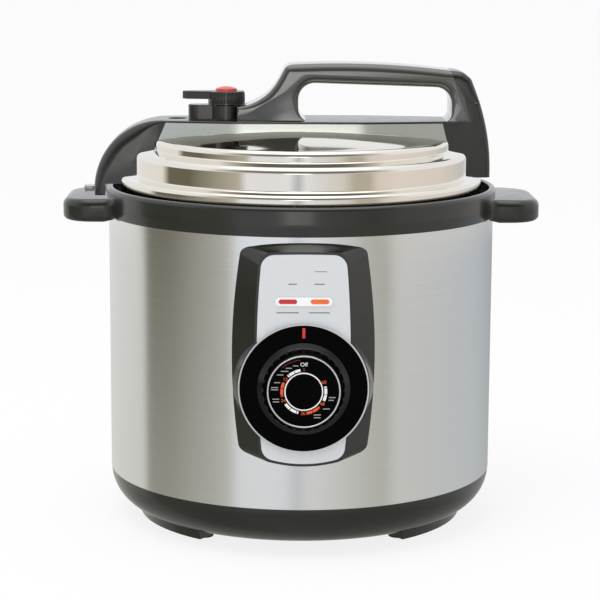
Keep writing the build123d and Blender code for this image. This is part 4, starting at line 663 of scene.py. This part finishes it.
def bend(start, middle, end, steps):
    """Points on the circle through three points, without the first."""
    a, b, c = Vector(start), Vector(middle), Vector(end)
    ab, ac = b - a, c - a
    cross = 2 * (ab.x * ac.y - ab.y * ac.x)
    near, far = ab.length_squared, ac.length_squared
    heart = a + Vector((ac.y * near - ab.y * far, ab.x * far - ac.x * near)) / cross
    first, last = a - heart, c - heart
    turn = first.angle_signed(last)
    return [heart + Matrix.Rotation(-turn * step / steps, 2) @ first for step in range(1, steps + 1)]


tiers = [Vector(p) for p in rounded(lid_outline(strap_gap) + [(0, 0, 0)], 4) if p[0] > 104 and p[1] > 241.2]


def beside(radius, height):
    """Point of the lid's outside under the flank of an arm."""
    return Vector((math.sqrt(radius**2 - arm_half**2), height))


flank_left, flank_right = -98.5, 99.0
ledge = min(tiers, key=lambda p: abs(p.x - 109) + abs(p.y - 266))
lower_tiers = [beside(*p) for p in tiers if p.y < ledge.y - 0.01]
upper_tiers = [beside(*p) for p in tiers if p.y >= ledge.y - 0.01]
# left arm, outside and inside, from its end up to the flank
arm_out = [Vector((-146.5, arm_bottom))]
for angle in [math.radians(90 * step / 30) for step in range(31)]:
    arm_out.append(arm_centre + arm_radius * Vector((-math.cos(angle), math.sin(angle))))
arm_out[-1] = Vector((flank_left, strap_top))
arm_in = [beside(139.9, arm_bottom), beside(139.9, 241.2), beside(128.6, 241.2)] + lower_tiers[::-1]
arm_in = [Vector((-p.x, p.y)) for p in arm_in + [upper_tiers[-1]]]
# flat top over the dome
dome_places = [-92.0 + 184.0 * step / 46 for step in range(47)]
top_out = [Vector((x, strap_top)) for x in dome_places]
top_in = [Vector((x, dome_height(x, half_width(x)))) for x in dome_places]
# right arm with its horn, down to the lid's flange
right_end = 246.2
horn = [Vector((x, strap_top)) for x in (flank_right, 110.0, 118.6)] + [Vector((115.0, 300.8))]
horn += bend((115.0, 300.8), (120.0, 299.2), (125.0, 300.4), 6)
horn += bend((125.0, 300.4), (130.5, 280.5), (133.5, 252.0), 14) + [Vector((133.5, right_end))]
horn_in = [beside(*p) for p in tiers if p.y > right_end] + [beside(117.9, right_end)]

outside = arm_out + top_out + horn
inside = arm_in + [Vector((-p.x, p.y)) for p in upper_tiers[-2::-1]] + top_in + horn_in
outward = []
for index, point in enumerate(outside):
    before, after = outside[max(index - 1, 0)], outside[min(index + 1, len(outside) - 1)]
    run = (after - before).normalized()
    outward.append(Vector((-run.y, run.x)))


def edge_radius(x, z):
    """Rounding of the strap's long edges: 9 mm on the left arm, 5 at its end, 1 on top, 4 on the right."""
    left = min(max((-94.0 - x) / 30.0, 0.0), 1.0)
    end = min(max((z - 236.0) / 24.0, 0.0), 1.0)
    right = min(max((x - 119.0) / 8.0, 0.0), 1.0)
    return 1.0 + (4.0 + 4.0 * end) * left * left * (3 - 2 * left) + 3.0 * right


form = bmesh.new()
edge_steps = 10
rows = []
for point, out in zip(outside, outward):
    radius = edge_radius(*point)
    width = half_width(point.x)
    row = []
    for side in (-1, 1):
        turns = [math.pi / 2 * step / edge_steps for step in range(edge_steps + 1)]
        for turn in turns[::-side]:
            heart = point - out * radius * (1 - math.sin(turn))
            y = side * (width - radius * (1 - math.cos(turn)))
            row.append(form.verts.new((heart.x * mm, y * mm, heart.y * mm)))
    rows.append(row)
for last, row in zip(rows, rows[1:]):
    for index in range(len(row) - 1):
        form.faces.new((last[index], last[index + 1], row[index + 1], row[index]))
cross_steps = 8
under = []
for x, z in inside:
    width = half_width(x)
    row = []
    for step in range(cross_steps + 1):
        y = -width + 2 * width * step / cross_steps
        over_dome = abs(x) < 94 and z > 270
        away = x if over_dome else math.copysign(math.sqrt(x * x + width * width - y * y), x)
        rise = dome_height(x, y) if over_dome else z
        row.append(form.verts.new((away * mm, y * mm, rise * mm)))
    under.append(row)
for last, row in zip(under, under[1:]):
    for index in range(cross_steps):
        form.faces.new((last[index + 1], last[index], row[index], row[index + 1]))
first_top, last_top = len(arm_out), len(arm_out) + len(top_out) - 1
first_dome = len(inside) - len(horn_in) - len(top_in)
last_dome = first_dome + len(top_in) - 1
for end in (0, -1):
    upper = [row[end] for row in rows]
    lower = [row[end] for row in under]
    form.faces.new(upper[:first_top] + lower[len(arm_in) - 1 :: -1])
    form.faces.new(upper[first_top - 1 : first_top + 1] + lower[first_dome : len(arm_in) - 2 : -1])
    for step in range(len(top_out)):
        over, beneath = first_top + step, first_dome + step
        form.faces.new((upper[over], upper[over + 1], lower[beneath + 1], lower[beneath]))
    form.faces.new(upper[last_top + 1 :] + lower[:last_dome:-1])
    form.faces.new(rows[end] + under[end][::-1])
strap = finished("strap_moulding", form, charcoal_abs, "lid", 35.0)


def cut_out(piece, form, crease):
    """Takes a form away from a piece."""
    bmesh.ops.recalc_face_normals(form, faces=form.faces)
    cutter_mesh = bpy.data.meshes.new("cutter")
    form.to_mesh(cutter_mesh)
    form.free()
    cutter = bpy.data.objects.new("cutter", cutter_mesh)
    bpy.context.scene.collection.objects.link(cutter)
    cut = piece.modifiers.new("cut", "BOOLEAN")
    cut.operation = "DIFFERENCE"
    cut.object = cutter
    mesh = bpy.data.meshes.new_from_object(piece.evaluated_get(bpy.context.evaluated_depsgraph_get()))
    piece.modifiers.clear()
    piece.data = mesh
    mesh.shade_smooth()
    mesh.set_sharp_from_angle(angle=math.radians(crease))
    bpy.data.objects.remove(cutter)


float_way = [(0, 268), (float_hole, 268), (float_hole, 290), (0, 290)]
cut_out(strap, lathe(float_way, 64, Matrix.Translation((float_x * mm, 0, 0))), 35.0)
# in the photograph the lid's tiers stay bright right up to the arms, so the mirror leaves the strap out
for piece in (strap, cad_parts["grip_screws"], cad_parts["strap_screws"]):
    piece.visible_glossy = False
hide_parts("lid_strap")

# Flank trim. A strip of bright steel along each side of the strap, pressed to its taper and its foot.
# It is glued on, so only its face and thin edges show. The steel is lightly brushed and mirrors broad forms.
brushing = (8, 8, 1 / (0.8 * mm))
trim_steel = streaked("stainless_steel_trim", brushing, 3.0, "#BCC0BA", "#C8CCC6", {"Roughness": 0.26})
trim_top = 284.5
trim_left = -95.5
trim_foot = -0.3
trim_proud = 0.25
foot_left = [Vector((-p.x, p.y)) for p in upper_tiers[::-1]]
form = bmesh.new()
for side in (-1, 1):
    lines = [[(x, trim_top) for x in [trim_left, *dome_places, flank_right]]]
    lines += [[(p.x, p.y + trim_foot) for p in foot] for foot in (top_in, foot_left, horn_in[:1])]
    upper, dome_foot, step_foot, (end_foot,) = [
        [form.verts.new((x * mm, side * (half_width(x) + trim_proud) * mm, z * mm)) for x, z in line]
        for line in lines
    ]
    form.faces.new([upper[0], *step_foot, dome_foot[0], upper[1]])
    for index in range(len(dome_foot) - 1):
        form.faces.new((upper[index + 1], dome_foot[index], dome_foot[index + 1], upper[index + 2]))
    form.faces.new((upper[-2], dome_foot[-1], end_foot, upper[-1]))
bmesh.ops.recalc_face_normals(form, faces=form.faces)
for face in form.faces:
    if face.normal.y * face.calc_center_median().y < 0:
        face.normal_flip()
bmesh.ops.solidify(form, geom=form.faces[:], thickness=2 * trim_proud * mm)
finished("strap_trim", form, trim_steel, "lid", 40.0)

# Loop handle. A charcoal ABS moulding that stands on the strap, with a rounded bar to hold and flared feet.
# Screws from pockets under the strap hold it, and its tail is cut back round the valve.
grip_half = 20.0
valve_x = -53.4
valve_bay = 14.5
# the loop is glossier than the strap, and its lighter grey is a painted sheen, set to agree with its
# brightness in the photograph
loop_abs_painted_sheen = moulded_abs("charcoal_abs_painted_sheen", "#3E3F3A", "#343530", 0.1, 0.18, 0.5, 1.0)


def cushioned(name, outline, half, material, body):
    """A moulding of this half width from a clockwise outline of (x, z, rounding) points in mm. At the end of a
    seam the point also has the way the rounding runs in, which is along the seam."""
    steps = 8
    form = bmesh.new()
    rings = []
    spots = [Vector(point[:2]) for point in outline]
    count = len(spots)
    for side in (-1, 1):
        for turn in range(steps + 1):
            swing = math.pi / 2 * (steps - turn if side < 0 else turn) / steps
            ring = []
            for index, (x, z, radius, *seam_way) in enumerate(outline):
                before = (spots[index] - spots[index - 1]).normalized()
                after = (spots[(index + 1) % count] - spots[index]).normalized()
                run = (before + after).normalized()
                inward = Vector(seam_way[0] if seam_way else (run.y, -run.x))
                spot = spots[index] + inward * radius * (1 - math.cos(swing))
                y = side * (half - radius * (1 - math.sin(swing)))
                ring.append(form.verts.new((spot.x * mm, y * mm, spot.y * mm)))
            rings.append(ring)
    skinned(form, rings)
    return finished(name, form, material, body, 40.0)


def sweep(start, start_run, end, end_run, steps):
    """Points on a smooth curve between two points with given runs, without the first."""
    a, b = Vector(start), Vector(end)
    reach = (b - a).length
    u, v = Vector(start_run).normalized() * reach, Vector(end_run).normalized() * reach
    points = []
    for step in range(1, steps + 1):
        t = step / steps
        near = (1 + 2 * t) * (1 - t) ** 2
        points.append(a * near + b * (1 - near) + u * t * (1 - t) ** 2 - v * t * t * (1 - t))
    return points


tail_top = (-45.5, 295.4)
leg_middle = (-25.2, 303.7)
leg_top = (-12.5, 322.0)
nose = (-5.5, 325.3)
seam_line = [(104.5, 321.4), (106.8, 315.0), (110.7, 308.6), (115.3, 300.5)]
loop = [(-45.5, strap_top, 0.2), (*tail_top, 2.0)]
leg_run = (33, 26.6)
loop += [(*q, 2.0 + 2.5 * i / 10) for i, q in enumerate(sweep(tail_top, (1, 0.05), leg_middle, leg_run, 10))]
loop += [(*q, 4.5) for q in sweep(leg_middle, leg_run, leg_top, (1, 2), 10)]
loop += [(*q, 4.5 + 1.0 * i / 5) for i, q in enumerate(sweep(leg_top, (1, 2), nose, (1, 0.06), 5))]
loop += [(*q, 5.5) for q in bend(nose, (40.0, 326.0), seam_line[0], 30)[:-1]]
seam_way = (0.36, -1.0)
loop += [(*seam_line[0], 5.5, seam_way)] + [(*q, 0.2) for q in seam_line[1:]] + [(118.9, strap_top, 0.2)]
foot = strap_top - 0.8
left, right = -2.4, 105.5
opening = [(90, foot, 0), (right, foot, 6), (right, 309.3, 11.5), (left, 312.5, 11.5), (left, foot, 9)]
opening = [(x, z) for x, z in rounded(opening, 8) if z > strap_top]
loop += [(opening[0][0] - 1.0, strap_top, 0.2)]
loop += [(x, z, min(0.2 + (z - strap_top) * 0.3, 3.2 if x > 104 else 5.5)) for x, z in opening]
loop += [(opening[-1][0] + 1.0, strap_top, 0.2)]
# the loop's lighter grey is painted sheen
loop_handle = cushioned("loop_handle", loop, grip_half, loop_abs_painted_sheen, "lid")
bay = [(0, 280), (valve_bay, 280), (valve_bay, 318), (0, 318)]
cut_out(loop_handle, lathe(bay, 96, Matrix.Translation((valve_x * mm, 0, 0))), 40.0)
# a three-cornered pocket in each side of the right foot
pocket = bmesh.new()
pocket_corners = ((108.0, 287.4), (116.0, 287.4), (112.6, 295.0))
for side in (-1, 1):
    ends = []
    for y in (grip_half - 1.6, grip_half + 2.0):
        ends.append([pocket.verts.new((x * mm, side * y * mm, z * mm)) for x, z in pocket_corners])
    skinned(pocket, ends)
cut_out(loop_handle, pocket, 40.0)
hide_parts("lid_grip")

# End cover. A small cap of the same ABS over the loop's outer corner, clipped to the loop and the arm's horn.
# The two edges at its seam are eased, which shows as a fine dark line.
seam_gap = 0.02
cover = [(x + seam_gap, z, 0.2) for x, z in seam_line[:0:-1]]
cover += [(seam_line[0][0] + seam_gap, seam_line[0][1], 5.5, seam_way)]
cover += [(*q, 5.5) for q in sweep(cover[-1][:2], (1, -0.1), (116.0, 318.3), (1, -1), 6)]
cover += [(*q, 5.0) for q in sweep((116.0, 318.3), (1, -1), (119.6, 314.6), (0.4, -1), 4)]
cover += [(122.4, 307.6, 4.5), (125.0, 299.7, 2.0), (120.0, 298.5, 0.2)]
end_cover = cushioned("end_cover", cover, grip_half, charcoal_abs, "lid")
end_cover.visible_glossy = False
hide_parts("grip_end_cover")

# Steam valve. A round base on the strap, and over it a turning cap with a lever and a ribbed rim.
# Both are charcoal ABS; the cap is snapped on the vent stem and turns on it.
dress(charcoal_abs, "valve_base", "pressure_valve")
cap_radius = 13.0
rib_count = 40
form = bmesh.new()
for rib in range(rib_count):
    angle = 2 * math.pi * (rib + 0.5) / rib_count
    if abs(math.pi - angle) < 0.55:
        continue
    spoke = Vector((math.cos(angle), math.sin(angle), 0))
    along = Vector((-spoke.y, spoke.x, 0))
    rings = []
    for height, proud in ((296.9, 0.0), (297.4, 0.45), (304.0, 0.45), (304.7, 0.0)):
        ring = []
        for turn in range(7):
            swing = math.pi * turn / 6
            out = cap_radius - 0.25 + proud * math.sin(swing)
            point = Vector((valve_x, 0, height)) + spoke * out + along * 0.62 * math.cos(swing)
            ring.append(form.verts.new(point * mm))
        rings.append(ring)
    skinned(form, rings)
finished("valve_ribs", form, charcoal_abs, "valve", 50.0)

# Release button. A coral ABS cap in the middle of the valve, held up by its spring.
# It is the one warm colour on the lid, glossy from the mould.
coral_abs = moulded_abs("coral_abs_gloss", "#E2534F", "#D94A48", 0.22, 0.3, 0.5, 0.3)
dress(coral_abs, "release_button")

# Floor. A wide sheet of white paper under the cooker, pale as in a catalogue picture.
# To the camera it is nearly the white of the background, and it keeps the cooker's soft shadow.
scene = bpy.context.scene
floor_mesh = bpy.data.meshes.new("floor")
reach = 40.0
floor_mesh.from_pydata(
    [(-reach, -reach, 0), (reach, -reach, 0), (reach, reach, 0), (-reach, reach, 0)], [], [(0, 1, 2, 3)]
)
floor = bpy.data.objects.new("floor", floor_mesh)
scene.collection.objects.link(floor)
floor.visible_glossy = False
paper = bpy.data.materials.new("white_paper")
paper.use_nodes = True
tree = paper.node_tree
tree.nodes.clear()
sheet = add_node(tree, "ShaderNodeBsdfDiffuse", {"Color": linear("#F6F6F6")})
white = add_node(tree, "ShaderNodeEmission", {"Color": (1, 1, 1, 1), "Strength": 1.0})
path = add_node(tree, "ShaderNodeLightPath")
share = add_node(tree, "ShaderNodeMath", {0: path.outputs["Is Camera Ray"], 1: 0.84}, operation="MULTIPLY")
blend = add_node(tree, "ShaderNodeMixShader", {0: share.outputs[0], 1: sheet.outputs[0], 2: white.outputs[0]})
add_node(tree, "ShaderNodeOutputMaterial", {0: blend.outputs[0]})
floor_mesh.materials.append(paper)

# Studio. Even light from all round, and for the steel to mirror a ring of screens: white behind and
# overhead, a dark flag on the left, a white screen in front on the left, and grey ones on the right.
# The ring is a little different at the height that the lid mirrors.
world = bpy.data.worlds.new("studio")
scene.world = world
world.use_nodes = True
tree = world.node_tree
tree.nodes.clear()
way = add_node(tree, "ShaderNodeTexCoord").outputs["Generated"]
parts = add_node(tree, "ShaderNodeSeparateXYZ", {0: way})
height = parts.outputs["Z"]
back = add_node(tree, "ShaderNodeMath", {0: parts.outputs["Y"], 1: -1.0}, operation="MULTIPLY")
sides = {0: parts.outputs["X"], 1: back.outputs[0]}
azimuth = add_node(tree, "ShaderNodeMath", sides, operation="ARCTAN2").outputs[0]
around = ramp(tree, azimuth, -math.pi, math.pi)
# degrees round the cooker from the front, to the right, and the screen's colour there
body_screens = {
    -180: "#E4E4E2", -108: "#D8D8D3", -103: "#726E62", -82: "#7C786C", -44: "#B0AFA7", -37: "#E8EBEE",
    -9: "#E6EAEE", -3: "#B4BBC4", 4: "#E0E1E2", 51: "#AAA89F", 57: "#CECDCA", 125: "#BCC2C8", 165: "#A6A8AA",
    180: "#E4E4E2",
}
lid_screens = {
    -180: "#E9EBEE", -112: "#E9E7E2", -104: "#6C6858", -84: "#6A6758", -44: "#B8B4A6", -38: "#E9EBF2",
    -9: "#E9EBF2", -3: "#B4BBC4", 3: "#E6EAF2", 28: "#D7D4CE", 36: "#B8B2A5", 46: "#B8B2A5", 53: "#DCD4CD",
    68: "#E4DDD8", 110: "#DFD8D2", 150: "#C3C6C6", 180: "#E9EBEE",
}
rings = []
for screens in (body_screens, lid_screens):
    ring = add_node(tree, "ShaderNodeValToRGB", {0: around})
    stops = ring.color_ramp.elements
    for index, (angle, colour) in enumerate(screens.items()):
        position = (angle + 180) / 360
        stop = stops[index] if index < 2 else stops.new(position)
        stop.position = position
        stop.color = linear(colour)
    rings.append(ring.outputs[0])
lid_height = ramp(tree, height, -0.142, -0.132)
low = ramp(tree, height, -0.14, -0.28, 0.0, 0.35)
deep = ramp(tree, height, -0.33, -0.5, 0.0, 0.7)
front = ramp(tree, parts.outputs["Y"], -0.3, -0.75)
wall = tint(tree, front, linear("#EEF1F4"), linear("#C4C4C0"))
high = ramp(tree, height, -0.075, 0.02)
# a strip lamp straight in front, above the height of the lid, which gives the loop handle its long streak
strip = ramp(tree, azimuth, 0.05, 0.14, 1.0, 0.0)
for limits in ((azimuth, -0.25, -0.12), (height, 0.02, 0.12, 1.0, 0.0), (height, -0.095, -0.065)):
    hem = ramp(tree, *limits)
    strip = add_node(tree, "ShaderNodeMath", {0: strip, 1: hem}, operation="MULTIPLY").outputs[0]
# the unlit front of the room, between the screens and the light overhead
room_foot = ramp(tree, height, 0.14, 0.26)
room = add_node(tree, "ShaderNodeMath", {0: front, 1: room_foot}, operation="MULTIPLY").outputs[0]
overhead = ramp(tree, height, 0.6, 0.8)
mirrored = rings[0]
for share, colour in (
    (lid_height, rings[1]),
    (low, linear("#CFCDC5")),
    (deep, linear("#96958E")),
    (high, wall),
    (strip, (3.2, 3.2, 3.1, 1)),
    (room, linear("#6A6964")),
    (overhead, (1, 1, 1, 1)),
):
    mirrored = tint(tree, share, mirrored, colour)
# a lamp straight overhead, for the light lines along rounded black edges
lamp = ramp(tree, height, 0.86, 0.93, 1.0, 2.2)
lit = add_node(tree, "ShaderNodeVectorMath", {0: mirrored, "Scale": lamp}, operation="SCALE")
# mirrors see the screens and lamps, matt surfaces an even light, and the camera a white background
path = add_node(tree, "ShaderNodeLightPath")
seen = tint(tree, path.outputs["Is Glossy Ray"], (0.85, 0.85, 0.85, 1), lit.outputs[0])
behind = tint(tree, path.outputs["Is Camera Ray"], seen, (1, 1, 1, 1))
sky = add_node(tree, "ShaderNodeBackground", {"Color": behind, "Strength": 1.0})
add_node(tree, "ShaderNodeOutputWorld", {0: sky.outputs[0]})

# Softbox. A large round lamp over the cooker, a little to the front left, at a plain level.
# It gives the shapes their soft shading and isn't mirrored in the steel.
softbox = bpy.data.lights.new("softbox", "AREA")
softbox.shape = "DISK"
softbox.size = 1.2
softbox.energy = 14.0
softbox_holder = bpy.data.objects.new("softbox", softbox)
softbox_holder.location = (-0.5, -0.7, 1.9)
aim = Vector((0, 0, 0.2)) - softbox_holder.location
softbox_holder.rotation_euler = aim.to_track_quat("-Z", "Y").to_euler()
softbox_holder.visible_glossy = False
scene.collection.objects.link(softbox_holder)

# Camera. In front of the panel and a little above the lid, with a long lens, as the photograph was taken.
# It stands slightly to the left of the middle, and its lens is worked out for a square picture.
camera_distance = 1463.3
camera_height = 409.98
camera_left = 23.0
pitch = 9.895
roll = 0.279
lens_pixels = 2053.2
frame_pixels = 600
camera = bpy.data.cameras.new("camera")
camera.sensor_width = 36.0
camera.lens = lens_pixels / frame_pixels * camera.sensor_width
camera.shift_x = -0.5 / frame_pixels
viewer = bpy.data.objects.new("camera", camera)
viewer.location = (-camera_left * mm, -camera_distance * mm, camera_height * mm)
viewer.rotation_mode = "QUATERNION"
yaw = -math.atan2(camera_left, camera_distance)
viewer.rotation_quaternion = (
    Matrix.Rotation(yaw, 3, "Z")
    @ Matrix.Rotation(math.radians(90 - pitch), 3, "X")
    @ Matrix.Rotation(math.radians(roll), 3, "Z")
).to_quaternion()
scene.collection.objects.link(viewer)
scene.camera = viewer
scene.view_settings.view_transform = "Standard"
